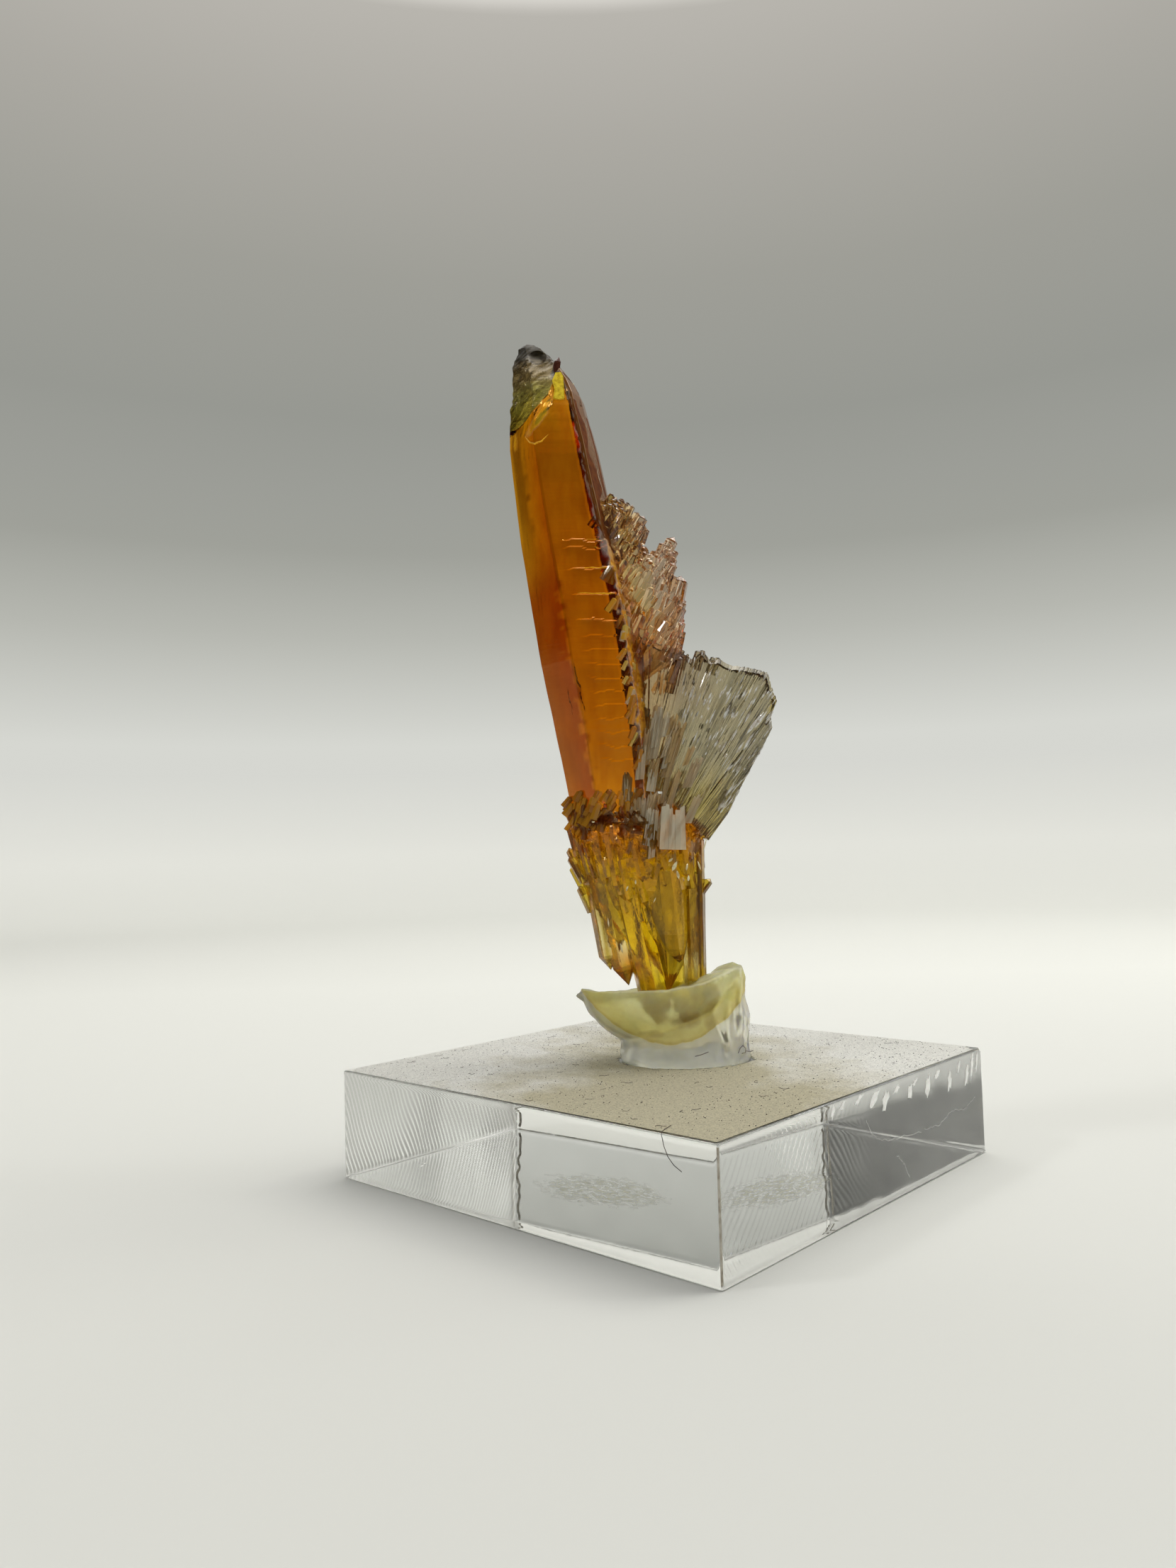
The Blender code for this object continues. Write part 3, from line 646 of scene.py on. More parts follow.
def flaw_material(name, size, dark, pale, see_through=0.0):
    """Matte pale stuff with darker patches of a size."""
    graph = Graph(name, turned=False)
    graph.set("Base Color", graph.ramp(graph.noise(size, 4.0), [(0.35, dark), (0.6, pale)]))
    graph.set("Roughness", 0.6)
    graph.bump(graph.noise(0.15, 3.0), 0.4, 0.03)
    graph.set("Transmission Weight", see_through)
    return graph.material


def edge_grime():
    """Thin lines of grime on the block's upright edges."""
    edges = []
    for x, y, height, reach in GRIMY_EDGES:
        points = []
        for k in range(41):
            z = 0.3 + (height - 0.3) * k / 40
            sway = 1.6 * reach * wave((x, y, z), 0.7, 4.0) if reach > 0.1 else 0.0
            points.append((x + sway, y + sway, z))
        edges.append(tube(points, reach))
    grime = flaw_material("edge_grime", 0.4, (0.42, 0.36, 0.28), (0.72, 0.68, 0.58), 0.3)
    dirt_mesh("edge_grime", edges, grime)


# The putty

BOWL_CENTRE = (-0.1, -0.7)
BOWL_REACH = (6.9, 6.6, 4.3, 3.9)
BOWL_DEPTH = 5.0
BOWL_RINGS = 24
BOWL_SIDES = 96
BOWL_FULLNESS = 1.15
BOWL_HOLLOW = ((0.9, 0.04), (0.72, 0.35))
HOLLOW_DEPTH = 0.7
RIM_HEIGHTS = [
    (0.0, 16.5), (30.0, 15.9), (75.0, 14.9), (110.0, 14.3), (150.0, 14.1), (180.0, 14.85), (225.0, 14.95),
    (270.0, 15.1), (300.0, 15.55), (330.0, 16.4), (360.0, 16.5),
]
FOOT = [
    (9.3, 1.5, 0.0, 5.35, 4.4), (10.2, 1.5, 0.05, 5.2, 4.2), (11.6, 1.5, 0.1, 4.9, 4.0),
    (13.0, 1.4, 0.1, 4.4, 3.6),
]
WALL = [
    (9.2, 4.75, 0.0, 2.3, 3.5), (10.6, 4.7, 0.05, 2.2, 3.6), (12.4, 4.65, 0.1, 2.35, 3.7),
    (13.9, 4.8, 0.1, 1.95, 3.4), (15.3, 5.2, 0.0, 1.6, 2.7), (16.2, 5.6, -0.2, 1.05, 1.7),
]
PUTTY_VOXEL = 0.14
# The bowl's lower edge as its material sees it: height at u = 0, and rise with u squared
BOWL_FOOT = 10.6
BOWL_CURVE = 0.085
# The roots' shadows in the bowl: u, z and reach
PUTTY_SHADOWS = [(1.5, 12.5, (1.9, 1.1)), (3.4, 12.2, (0.8, 0.9)), (-1.4, 11.4, (1.6, 0.5))]
PUTTY_SINK = 0.03
FOOT_TOP = (1.4, 0.1, 13.2)
WALL_TOP = (5.8, -0.3, 16.7)
# The pointed left end of the bowl's rim: buried end, tip, radius, shoulder and sides
RIM_POINT = ((-5.4, -0.9, 14.0), (-7.55, -1.0, 14.35), 0.62, 0.8, 5)
FAR_ROD = ((500.0, 0.0, 0.0), (500.0, 0.0, 1.0))


def read(table, key):
    """The columns of a table at a key, on the straight line between its rows."""
    rows = np.asarray(table, float)
    return [float(np.interp(key, rows[:, 0], rows[:, k])) for k in range(1, rows.shape[1])]


def oval_reach(angle, left, right, front, back):
    """A point at an angle round an oval whose four half widths differ."""
    along, through = math.cos(angle), math.sin(angle)
    return along * (right if along > 0.0 else left), through * (back if through > 0.0 else front)


def bowl_ring(share, drop):
    """One ring of the bowl, at a share of the rim's reach and a drop under the rim."""
    ring = []
    for angle in turns(BOWL_SIDES):
        along, through = oval_reach(angle, *BOWL_REACH)
        rim = read(RIM_HEIGHTS, math.degrees(angle))[0]
        ring.append((BOWL_CENTRE[0] + along * share, BOWL_CENTRE[1] + through * share, rim - drop))
    return ring


def bowl():
    """The boat-shaped hull with a shallow hollow on top."""
    rings = []
    for level in range(BOWL_RINGS):
        down = math.cos(0.5 * math.pi * (level + 0.6) / (BOWL_RINGS - 0.4))
        share = math.sqrt(1.0 - down ** 2) ** BOWL_FULLNESS
        rings.append(bowl_ring(share, BOWL_DEPTH * down))
    for share, drop in BOWL_HOLLOW:
        rings.append(bowl_ring(share, drop))
    front = read(RIM_HEIGHTS, 270.0)[0]
    return loft(rings, (*BOWL_CENTRE, front - BOWL_DEPTH), (*BOWL_CENTRE, front - HOLLOW_DEPTH))


def column(table, sides, uneven, top, seed, bottom):
    """A pressed lump of putty through oval sections, with an uneven side."""
    rings = []
    lowest = (bottom, *table[0][1:])
    for row in [lowest] + list(table):
        height, centre_u, centre_v, half_width, half_depth = row
        ring = []
        for angle in turns(sides):
            spot = (6.0 * math.cos(angle), 6.0 * math.sin(angle), height)
            out = 1.0 + uneven * wave(spot, 2.2, seed)
            u = centre_u + half_width * out * math.cos(angle)
            ring.append((u, centre_v + half_depth * out * math.sin(angle), height))
        rings.append(ring)
    return loft(rings, (*lowest[1:3], bottom), top)


def rod(start, end, radius, shoulder, sides=6, spin=0.0, slope=1.5):
    """A straight crystal from its buried end to its point."""
    start, end = Vector(start), Vector(end)
    axis = (end - start).normalized()
    across = axis.orthogonal().normalized()
    across.rotate(Matrix.Rotation(spin, 3, axis))
    side = axis.cross(across)
    neck = end - axis * (slope * radius * shoulder)
    rings = []
    for centre, reach in ((start, radius), (neck, radius * shoulder)):
        ring = []
        for angle in turns(sides):
            ring.append(tuple(centre + (across * math.cos(angle) + side * math.sin(angle)) * reach))
        rings.append(ring)
    return loft(rings, tuple(start), tuple(end))


def applied(thing):
    """Give a thing the mesh that its modifiers make, and return that mesh."""
    bpy.context.view_layer.update()
    mesh = bpy.data.meshes.new_from_object(thing.evaluated_get(bpy.context.evaluated_depsgraph_get()))
    thing.modifiers.clear()
    thing.data = mesh
    return mesh


def remeshed(thing, voxel):
    """Fuse a piece's overlapping solids into one skin of even small faces."""
    change = thing.modifiers.new("fuse", "REMESH")
    change.mode = "VOXEL"
    change.voxel_size = voxel * MM
    change.use_smooth_shade = True
    applied(thing)
    return thing


def relaxed(thing, rounds):
    """Smooth a piece's skin."""
    shape = bmesh.new()
    shape.from_mesh(thing.data)
    axes = {"use_axis_x": True, "use_axis_y": True, "use_axis_z": True}
    for _ in range(rounds):
        bmesh.ops.smooth_vert(shape, verts=shape.verts, factor=0.5, **axes)
    shape.to_mesh(thing.data)
    shape.free()
    return thing


def outer_skin(mesh):
    """Triangles of a mesh's largest closed shell alone, without the pockets inside it."""
    shape = bmesh.new()
    shape.from_mesh(mesh)
    left, outer = set(shape.faces), set()
    while left:
        shell, rim = set(), [left.pop()]
        while rim:
            face = rim.pop()
            shell.add(face)
            for edge in face.edges:
                for other in edge.link_faces:
                    if other in left:
                        left.discard(other)
                        rim.append(other)
        outer = max(outer, shell, key=len)
    bmesh.ops.delete(shape, geom=[face for face in shape.faces if face not in outer], context="FACES")
    bmesh.ops.triangulate(shape, faces=shape.faces)
    shape.to_mesh(mesh)
    shape.free()


def fused(thing):
    """Join a piece's overlapping crystals into one skin with sharp edges.

    The union takes a second solid, so it gets a tiny one far away, which outer_skin() drops.
    """
    far = make_mesh("far", *rod(*FAR_ROD, 0.1, 0.9, 4), thing.data.materials[0])
    change = thing.modifiers.new("join", "BOOLEAN")
    change.operation = "UNION"
    change.object = outward(far)
    change.solver = "EXACT"
    change.use_self = True
    outer_skin(applied(thing))
    bpy.data.objects.remove(far, do_unlink=True)
    return thing


def tinted(thing, tint_of):
    """Give a piece the colour of each of its points, by the point's place in the specimen's axes."""
    mesh = thing.data
    spots = np.empty(len(mesh.vertices) * 3)
    mesh.vertices.foreach_get("co", spots)
    spots = spots.reshape(-1, 3) / MM
    paint(mesh, [tint_of(*in_specimen(x, y), z) for x, y, z in spots])
    return thing


def push_skin(thing, amount, above):
    """Move a piece's skin out by an amount in millimetres that depends on the place, above a height."""
    mesh = thing.data
    count = len(mesh.vertices)
    spots = np.empty(count * 3)
    ways = np.empty(count * 3, np.float32)
    mesh.vertices.foreach_get("co", spots)
    mesh.vertices.foreach_get("normal", ways)
    spots = spots.reshape(-1, 3) / MM
    press = np.array([amount(spot) if spot[2] > above else 0.0 for spot in spots])
    spots += ways.reshape(-1, 3) * press[:, None]
    mesh.vertices.foreach_set("co", (spots * MM).ravel())
    mesh.update()


def putty_material():
    """Translucent yellow-green putty, paler in the foot."""
    graph = Graph("translucent_putty")
    bent = graph.times(graph.square("X"), BOWL_CURVE)
    height = graph.plus(graph.minus(graph.axis("Z"), bent), graph.times(graph.noise(1.2), 0.4))
    share = graph.over(graph.minus(height, BOWL_FOOT - 1.0), 4.0)
    in_bowl = graph.ramp(share, [(0.27, 0.0), (0.31, 1.0)])
    body = graph.ramp(share, [
        (0.0, (1.0, 1.0, 0.94)), (0.27, (1.0, 0.99, 0.84)), (0.31, (0.70, 0.58, 0.18)),
        (0.38, (0.90, 0.80, 0.28)), (0.62, (0.94, 0.88, 0.36)), (1.0, (0.97, 0.94, 0.55)),
    ])
    mottle = graph.ramp(graph.noise(1.3, 4.0, 0.6), [(0.35, (0.84, 0.80, 0.68)), (0.65, WHITE)])
    body = graph.mix(graph.ramp(in_bowl, [(0.0, 0.1), (1.0, 0.6)]), body, mottle, "MULTIPLY")
    for u, z, (half_width, half_height) in PUTTY_SHADOWS:
        away = graph.plus(graph.square("X", u, half_width), graph.square("Z", z, half_height))
        away = graph.plus(away, graph.times(graph.noise(1.0), 0.8))
        shadow = graph.times(graph.ramp(away, [(0.35, 0.75), (1.0, 0.0)]), in_bowl)
        body = graph.mix(shadow, body, (0.50, 0.37, 0.13))
    graph.set("Base Color", body)
    graph.set("Transmission Weight", graph.ramp(in_bowl, [(0.0, 0.76), (1.0, 0.58)]))
    graph.set("IOR", 1.4)
    graph.set("Roughness", graph.ramp(in_bowl, [(0.0, 0.16), (1.0, 0.26)]))
    graph.set("Subsurface Weight", 1.0)
    graph.set("Subsurface Radius", (1.0, 0.9, 0.5))
    graph.set("Subsurface Scale", 0.0015)
    graph.bump(graph.noise(0.5, 4.0, 0.6), 0.25, 0.05)
    graph.absorb((0.94, 0.91, 0.60), 0.04)
    return graph.material


def putty_dent(spot):
    """How far the putty's skin is pressed out or in at a place."""
    return 0.10 * wave(spot, 1.7, 2.0) + 0.05 * wave(spot, 0.7, 4.0)


def putty():
    """The lump of putty, fused from bowl, foot, wall and rim point, then softened and pressed uneven."""
    bottom = BLOCK_HEIGHT - PUTTY_SINK
    foot = column(FOOT, 64, 0.05, FOOT_TOP, 5.0, bottom)
    wall = column(WALL, 48, 0.12, WALL_TOP, 8.0, bottom)
    parts = [bowl(), foot, wall, rod(*RIM_POINT)]
    piece = make_mesh("putty_lump", *joined(parts), putty_material(), smooth=True)
    outward(piece)
    remeshed(piece, PUTTY_VOXEL)
    relaxed(piece, 2)
    push_skin(piece, putty_dent, BLOCK_HEIGHT + 0.25)
    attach(piece, "root")
    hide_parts("mounting_putty")


# The crystal's prism and its melted cap

EDGE_SHARES = (0.04, 0.2, 0.36, 0.52, 0.68, 0.84, 0.96)
PRISM_STEP = 0.13
PRISM_FOOT = 28.85
# How unevenly the prism's lower edge is broken
FOOT_RAGGED = 0.8
LADDER = [52.0, 51.35, 49.6, 47.45, 45.3, 43.9] + [42.75 - 1.12 * k for k in range(9)]
LADDER_RISE = 0.08
# Below this height the steps are faint
LADDER_FADE = 44.5
# The steps reach down to this height, and each falls back to the face over this length
LADDER_FOOT = 30.0
LADDER_FALL = 0.5
# Yellow patches on the prism's front, where light shines through thin facets: their yellow is the crystal's
# own, and their brightness is painted light. Centre along u and z, lean, half width and half length
YELLOW_PATCHES = [(-9.3, 62.4, 0.62, 0.36, 1.5), (-11.3, 61.1, 0.1, 0.16, 0.8), (-8.6, 63.8, 0.8, 0.2, 0.8)]
BREAK_LEVELS = 46
BREAK_RINGS = 8
CAP_LEVELS = 90
CAP_TOP = 70.33
# The cap lies this far above the break
CAP_GAP = 0.02
CAP_POINT = (-10.05, 0.25, 70.4)
CAP_POCKET = (-9.3, 68.7)
CAP_POCKET_RADIUS = 0.75


def half_of(height):
    """Centre along u and half width of the main crystal at a height, from its axis or its top's outline."""
    if height < PRISM_AXIS[-1][0]:
        return read(PRISM_AXIS, height)
    left, right = read(TOP_LEFT, height)[0], read(TOP_RIGHT, height)[0]
    return [(left + right) / 2.0, (right - left) / 2.0]


def section():
    """Shares of the half width round the prism's section, with blunt edges, and each point's face."""
    shares, faces = [], []
    for i, corner in enumerate(PRISM_CORNERS):
        after = PRISM_CORNERS[(i + 1) % len(PRISM_CORNERS)]
        for t in EDGE_SHARES:
            shares.append((corner[0] + (after[0] - corner[0]) * t, corner[1] + (after[1] - corner[1]) * t))
            faces.append(i)
    return shares, faces


def break_height(u, v):
    """Height of the slanting break between the prism and its melted cap."""
    place = (u, v, 0.0)
    rough = BREAK_ROUGHNESS * wave(place, 1.4, 6.0) + 0.4 * BREAK_ROUGHNESS * wave(place, 0.5, 2.0)
    return float(np.interp(u, *zip(*BREAK_LINE))) + rough


def step_out(u, z, share_u):
    """How far the growth steps on the front face stand out at a point."""
    inside = ease(-0.25, 0.0, share_u) * (1.0 - ease(0.62, 0.74, share_u))
    if inside <= 0.0 or z > LADDER[0] + 0.5 or z < LADDER_FOOT:
        return 0.0
    level = z + 0.30 * wave((0.8 * u, 0.0, z * 0.4), 1.2, 1.0)
    under = [step for step in LADDER if step > level]
    if not under:
        return 0.0
    step = min(under)
    rise = LADDER_RISE if step > LADDER_FADE else 0.35 * LADDER_RISE
    return inside * rise * math.exp(-(step - level) / LADDER_FALL)


def prism_point(share, face, z):
    """One point of the prism's skin."""
    centre, half = half_of(z)
    u = centre + share[0] * half
    v = share[1] * half
    out = step_out(u, z, share[0]) if face in (0, 1, 2, 3) else 0.0
    sway = 0.035 * wave((u * 0.7, v * 0.7, z), 2.6, 5.0)
    return u + 0.3 * out + sway * share[0], v - out + sway * share[1], z


def prism_material():
    """Orange zincite, which is deep where it is thick and yellow where it is thin."""
    graph = clear("orange_zincite", 1.75, 0.03, shine=(0.90, 0.50, 0.12))
    upright = graph.stretched((1.0, 1.0, 0.35))
    stain = graph.ramp(graph.noise(1.6, 5.0, 0.6, 0.4, upright), [(0.42, WHITE), (0.72, (0.72, 0.52, 0.36))])
    graph.set("Base Color", graph.mix(1.0, graph.tint(), stain, "MULTIPLY"))
    graph.set("Transmission Weight", graph.tint("Alpha"))
    graph.set("Roughness", graph.plus(graph.times(graph.noise(0.6, 3.0), 0.06), 0.01))
    ripple = graph.noise(0.5, 4.0, 0.6, 0.0, graph.stretched((0.25, 0.25, 2.2)))
    furrow = graph.noise(0.5, 3.0, 0.6, 0.0, graph.stretched((2.0, 1.0, 0.12)))
    graph.bump(graph.plus(ripple, furrow), 0.22, 0.025)
    graph.absorb((0.955, 0.757, 0.03), 0.90)
    return graph.material


def break_rings(rim, lift=0.0):
    """Rings from a rim on the break to its middle, a lift above the break, and the middle's point."""
    middle = rim.mean(axis=0)
    rings = []
    for k in range(1, BREAK_RINGS):
        ring = middle + (rim - middle) * (1.0 - k / BREAK_RINGS)
        ring[:, 2] = [break_height(u, v) + lift for u, v, _ in ring]
        rings.append(ring)
    return rings, (middle[0], middle[1], break_height(middle[0], middle[1]) + lift)


def break_heights(shares):
    """Heights at which the edges of the prism's section meet the slanting break."""
    heights = []
    for share_u, share_v in shares:
        z = 65.0
        for _ in range(12):
            centre, half = half_of(z)
            z = 0.5 * z + 0.5 * break_height(centre + share_u * half, share_v * half)
        heights.append(z)
    return heights


def prism():
    """The long orange prism, up to the slanting break."""
    shares, faces = section()
    rings = [[]]
    for share, face in zip(shares, faces):
        spot = prism_point(share, face, PRISM_FOOT)
        lift = FOOT_RAGGED * (0.5 + 0.9 * wave(spot, 0.9, 4.0))
        rings[0].append(prism_point(share, face, PRISM_FOOT + max(lift, 0.0)))
    for z in np.arange(PRISM_FOOT + 1.5 * FOOT_RAGGED, BREAK_START, PRISM_STEP):
        rings.append([prism_point(share, face, z) for share, face in zip(shares, faces)])
    tops = break_heights(shares)
    for k in range(BREAK_LEVELS + 1):
        ring = []
        for share, face, top in zip(shares, faces, tops):
            z = BREAK_START + (top - BREAK_START) * k / BREAK_LEVELS
            ring.append(prism_point(share, face, z))
        rings.append(ring)
    closing, last = break_rings(np.array(rings[-1]))
    spots, faces = loft(rings + closing, (half_of(PRISM_FOOT)[0], 0.0, PRISM_FOOT), last)
    crystal_mesh("orange_prism", (spots, faces), prism_material(), prism_tints(spots))
    return tops


def soft_patch(u, z, patch, ragged):
    """How far a place is inside a leaning oval patch, from 0 to 1, with an uneven rim."""
    centre_u, centre_z, lean, half_width, half_length = patch
    across = (u - centre_u) * math.cos(lean) - (z - centre_z) * math.sin(lean)
    along = (u - centre_u) * math.sin(lean) + (z - centre_z) * math.cos(lean)
    return ease(1.25, 0.75, math.hypot(across / half_width, along / half_length) + 3.0 * ragged)


def prism_tints(spots):
    """Colours over the prism's front: olive and then red-brown at the left, and dark at the right.

    The fourth number is how far the skin lets light through.
    """
    tints = np.ones((len(spots), 4))
    for i, (u, v, z) in enumerate(spots):
        centre, half = half_of(z)
        share = (u - centre) / max(half, 0.1)
        if v > 0.25 * half:
            continue
        ragged = 0.06 * wave((u, v, z), 0.6, 7.0) + 0.05 * wave((u, v, 0.3 * z), 0.25, 3.0)
        fine = patchy((u, v, z), 0.3, 9.0)
        high = ease(50.0, 53.0, z + 8.0 * ragged)
        band = ease(0.54, 0.60, share + ragged) * high
        rubble = ease(0.62, 0.70, share + 1.5 * ragged) * (1.0 - high)
        olive = ease(-0.68, -0.74, share + ragged) * ease(-0.97, -0.92, share)
        olive *= ease(48.0, 56.0, z)
        middle = ease(-0.43, -0.37, share) * ease(46.0, 56.0, z)
        left = (1.0 - ease(-0.43, -0.37, share)) * ease(44.0, 54.0, z)
        crown = ease(59.5, 62.5, z + 1.2 * share) * ease(0.35, 0.0, share)
        streaks = patchy((3.0 * u, v, 0.25 * z), 1.0, 5.0)
        flank = ease(-0.38, -0.46, share + 2.0 * ragged) * ease(53.0, 47.0, z)
        # Painted light: the yellow patches are brighter and less see-through, standing for light that shines
        # through thin facets
        glow = max(soft_patch(u, z, patch, ragged) for patch in YELLOW_PATCHES)
        tints[i] = blended(WHITE, [
            (0.8 * left, (0.90, 0.88, 0.45)),
            (0.5 * middle, (0.86, 0.66, 0.50)),
            (0.30 * streaks * ease(50.0, 60.0, z), (0.75, 0.60, 0.40)),
            (0.8 * crown, (0.66, 0.82, 0.24)),
            (0.9 * olive, (0.20, 0.15, 0.04)),
            (band, (0.17, 0.065, 0.015)),
            (rubble, (1.0, 0.50, 0.03)),
            (rubble * ease(0.45, 0.7, fine), (0.60, 0.22, 0.01)),
            (glow, (0.95, 0.70, 0.04)),
            (flank, (0.40, 0.13, 0.02)),
        ])
        tints[i, 3] = 1.0 - band - 0.8 * rubble * (1.0 - band) - 0.35 * glow
    return tints


def crystal_piece(piece):
    """Every piece of the specimen rides with it and stands for its one solid."""
    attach(piece, "root")
    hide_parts("zincite_crystal")


def crystal_mesh(name, shape, material, tints=None, smooth=False):
    """A closed shape's points and faces as a piece of the specimen."""
    crystal_piece(outward(make_mesh(name, *shape, material, tints, smooth)))


def cap_material():
    """The dark, striated, melted top."""
    graph = clear("melted_zincite", 1.75, 0.10, shine=(0.32, 0.26, 0.14))
    share = graph.over(graph.minus(graph.axis("Z"), 62.5), 8.0)
    colour = graph.ramp(share, [
        (0.0, (0.22, 0.16, 0.02)), (0.15, (0.44, 0.38, 0.05)), (0.36, (0.74, 0.74, 0.20)),
        (0.5, (0.42, 0.33, 0.17)), (0.70, (0.26, 0.20, 0.11)), (0.78, (0.012, 0.010, 0.008)),
    ])
    diagonal = graph.stretched((0.4, 0.5, 1.9), (0.0, math.radians(40.0), 0.0))
    streak = graph.noise(0.34, 4.0, 0.65, 0.8, diagonal)
    mottle = graph.ramp(streak, [(0.38, (0.30, 0.24, 0.18)), (0.58, WHITE)])
    graph.set("Base Color", graph.mix(1.0, colour, mottle, "MULTIPLY"))
    sooty = graph.ramp(share, [(0.6, 0.0), (0.85, 0.35)])
    graph.set("Roughness", graph.plus(graph.times(streak, 0.20), sooty))
    graph.bump(streak, 0.5, 0.04)
    graph.absorb((0.70, 0.60, 0.25), 0.22)
    return graph.material


def cap(tops):
    """The melted cap on the break, with curved diagonal striations."""
    shares = section()[0]
    rings = []
    for k in range(CAP_LEVELS + 1):
        t = k / CAP_LEVELS
        ring = []
        for share, low in zip(shares, tops):
            z = low + CAP_GAP + (CAP_TOP - low) * (1.0 - (1.0 - t) ** 1.3)
            centre, half = half_of(z)
            u = centre + share[0] * half
            narrow = 0.96 - 0.25 * ease(66.0, 70.0, z)
            v = share[1] * half * narrow + 0.3 * ease(64.0, 68.0, z)
            line = 0.77 * z - 0.64 * u + 0.35 * wave((u, v, z), 1.5, 3.0)
            ridge = 0.09 * wave((line, 0.25 * v, 0.25 * u), 0.30, 4.0) + 0.12 * wave((u, v, z), 0.9, 9.0)
            pocket = math.dist((u, z), CAP_POCKET) / CAP_POCKET_RADIUS
            if v < 0.0 and pocket < 1.0:
                ridge -= 0.35 * math.sqrt(1.0 - pocket ** 2)
            ridge *= ease(0.0, 0.1, t)
            ring.append((u + ridge * share[0], v + ridge * share[1], z))
        rings.append(ring)
    under, first = break_rings(np.array(rings[0]), CAP_GAP)
    crystal_mesh("melted_cap", loft(under[::-1] + rings, first, CAP_POINT), cap_material())


# Small marks on the prism's front: painted highlights on its growth steps, and dark veins

# The front corners of the prism's section, from left to right
FRONT_SHARES = np.array(PRISM_CORNERS[-2:] + PRISM_CORNERS[:6])
# Painted highlights on the growth steps, bright lines where light is caught: height, left and right end
# along u, half height
STEP_HIGHLIGHTS = [
    (52.0, -6.9, -4.5, 0.04), (51.35, -5.7, -4.6, 0.05), (49.6, -6.5, -3.6, 0.13), (47.45, -6.4, -3.3, 0.14),
    (45.3, -6.1, -2.9, 0.012), (43.9, -5.2, -3.1, 0.02), (42.75, -5.7, -4.0, 0.008),
    (40.5, -5.5, -3.2, 0.010), (39.4, -4.6, -2.6, 0.014), (37.1, -4.9, -2.9, 0.012),
    (34.9, -4.5, -2.6, 0.010),
]
LINE_STEP = 0.12
# Highlights with a greater half height are bright lines, and the others are faint painted highlights on the
# ripples
BRIGHT_HIGHLIGHT = 0.03
VEIN_STEPS = 26
# Dark veins: places along u and z
DARK_VEINS = [
    [(-6.85, 41.8), (-6.7, 40.7), (-6.4, 39.7), (-6.3, 38.7), (-5.95, 37.6)],
    [(-7.4, 39.9), (-7.15, 38.6), (-7.0, 37.5)],
    [(-2.35, 40.2), (-2.1, 39.0), (-1.95, 37.8), (-1.75, 36.4), (-1.55, 35.0)],
    [(-3.1, 44.0), (-2.8, 42.6), (-2.6, 41.4)],
]


def front_of(u, z, proud=0.0):
    """How far forward the prism's skin is at a place on its front, or what stands proud of it."""
    centre, half = half_of(z)
    return float(np.interp((u - centre) / half, FRONT_SHARES[:, 0], FRONT_SHARES[:, 1])) * half - proud


def streak(points, radii, flat=0.4):
    """A thin closed ribbon through points, flatter through v than it is wide, with a point at each end."""
    points = np.asarray(points, float)
    rings = []
    for i in range(1, len(points) - 1):
        run = points[i + 1] - points[i - 1]
        across = np.array([-run[2], 0.0, run[0]])
        across /= max(np.linalg.norm(across), 1e-6)
        deep = np.array([0.0, flat, 0.0])
        rings.append([points[i] + radii[i] * way for way in (across, -deep, -across, deep)])
    return loft(rings, points[0], points[-1])


def highlight_and_mark_material(name, colour, rough=0.3, see_through=0.45):
    """A small mark, partly see-through: a bright one is a painted highlight, and a dark one is a dark flaw
    of the crystal.
    """
    graph = Graph(name)
    graph.set("Specular Tint", colour)
    dim = (0.6 * colour[0], 0.5 * colour[1], 0.4 * colour[2])
    shade = graph.ramp(graph.noise(0.35, 4.0, 0.7), [(0.36, dim), (0.58, colour)])
    graph.bump(graph.noise(0.25, 3.0), 0.3, 0.03)
    graph.set("Base Color", shade)
    graph.set("Transmission Weight", see_through)
    graph.set("IOR", 1.6)
    graph.set("Roughness", rough)
    return graph.material


def step_highlights():
    """Painted highlights: the bright lines where light is caught on the growth steps, and faint ones on the
    ripples.
    """
    draw = random.Random(52)
    parts, faint = [], []
    for height, left, right, half in STEP_HIGHLIGHTS:
        count = int((right - left) / LINE_STEP)
        points, radii = [], []
        for k in range(count + 1):
            u = left + (right - left) * k / count
            swing = (0.10 if half > BRIGHT_HIGHLIGHT else 0.22) * wave((u, 0.0, height), 0.8, 3.0)
            z = height + swing + 0.07 * (u - left) / (right - left)
            points.append((u, front_of(u, z, 0.03), z))
            share = k / count
            radius = half * (0.15 + 0.85 * share ** 1.5) * draw.uniform(0.5, 1.2)
            radii.append(radius * min(1.0, 8.0 * (1.02 - share)))
        (parts if half > BRIGHT_HIGHLIGHT else faint).append(streak(points, radii, 0.5))
    crystal_mesh("step_highlights", joined(parts), highlight_and_mark_material("step_highlight", (1.0, 0.50, 0.02), 0.4, 0.0))
    crystal_mesh("step_ripple_highlights", joined(faint), highlight_and_mark_material("step_ripple_highlight", (0.50, 0.17, 0.004), 0.5, 0.3))


def dark_veins():
    """Dark brown veins along the prism's facet edges."""
    draw = random.Random(41)
    parts = []
    for vein in DARK_VEINS:
        points, radii = [], []
        for k in range(VEIN_STEPS + 1):
            u, z = on_row(vein, k / VEIN_STEPS)
            u += 0.10 * wave((u, 0.0, z), 0.5, 4.0)
            points.append((u, front_of(u, z) + 0.12, z))
            radius = 0.015 + 0.09 * draw.random() ** 2
            radii.append(radius * math.sin(math.pi * (0.08 + 0.84 * k / VEIN_STEPS)))
        parts.append(streak(points, radii, 0.5))
    crystal_mesh("dark_veins", joined(parts), highlight_and_mark_material("dark_vein", (0.36, 0.12, 0.015), 0.4, 0.6))


# The pale edge and the dark band of the prism, and the facets and the horn of its top

# The horn: foot, tip, radius and shoulder
HORN = ((-7.9, -1.2, 66.6), (-7.45, -1.3, 68.55), 0.40, 0.75)
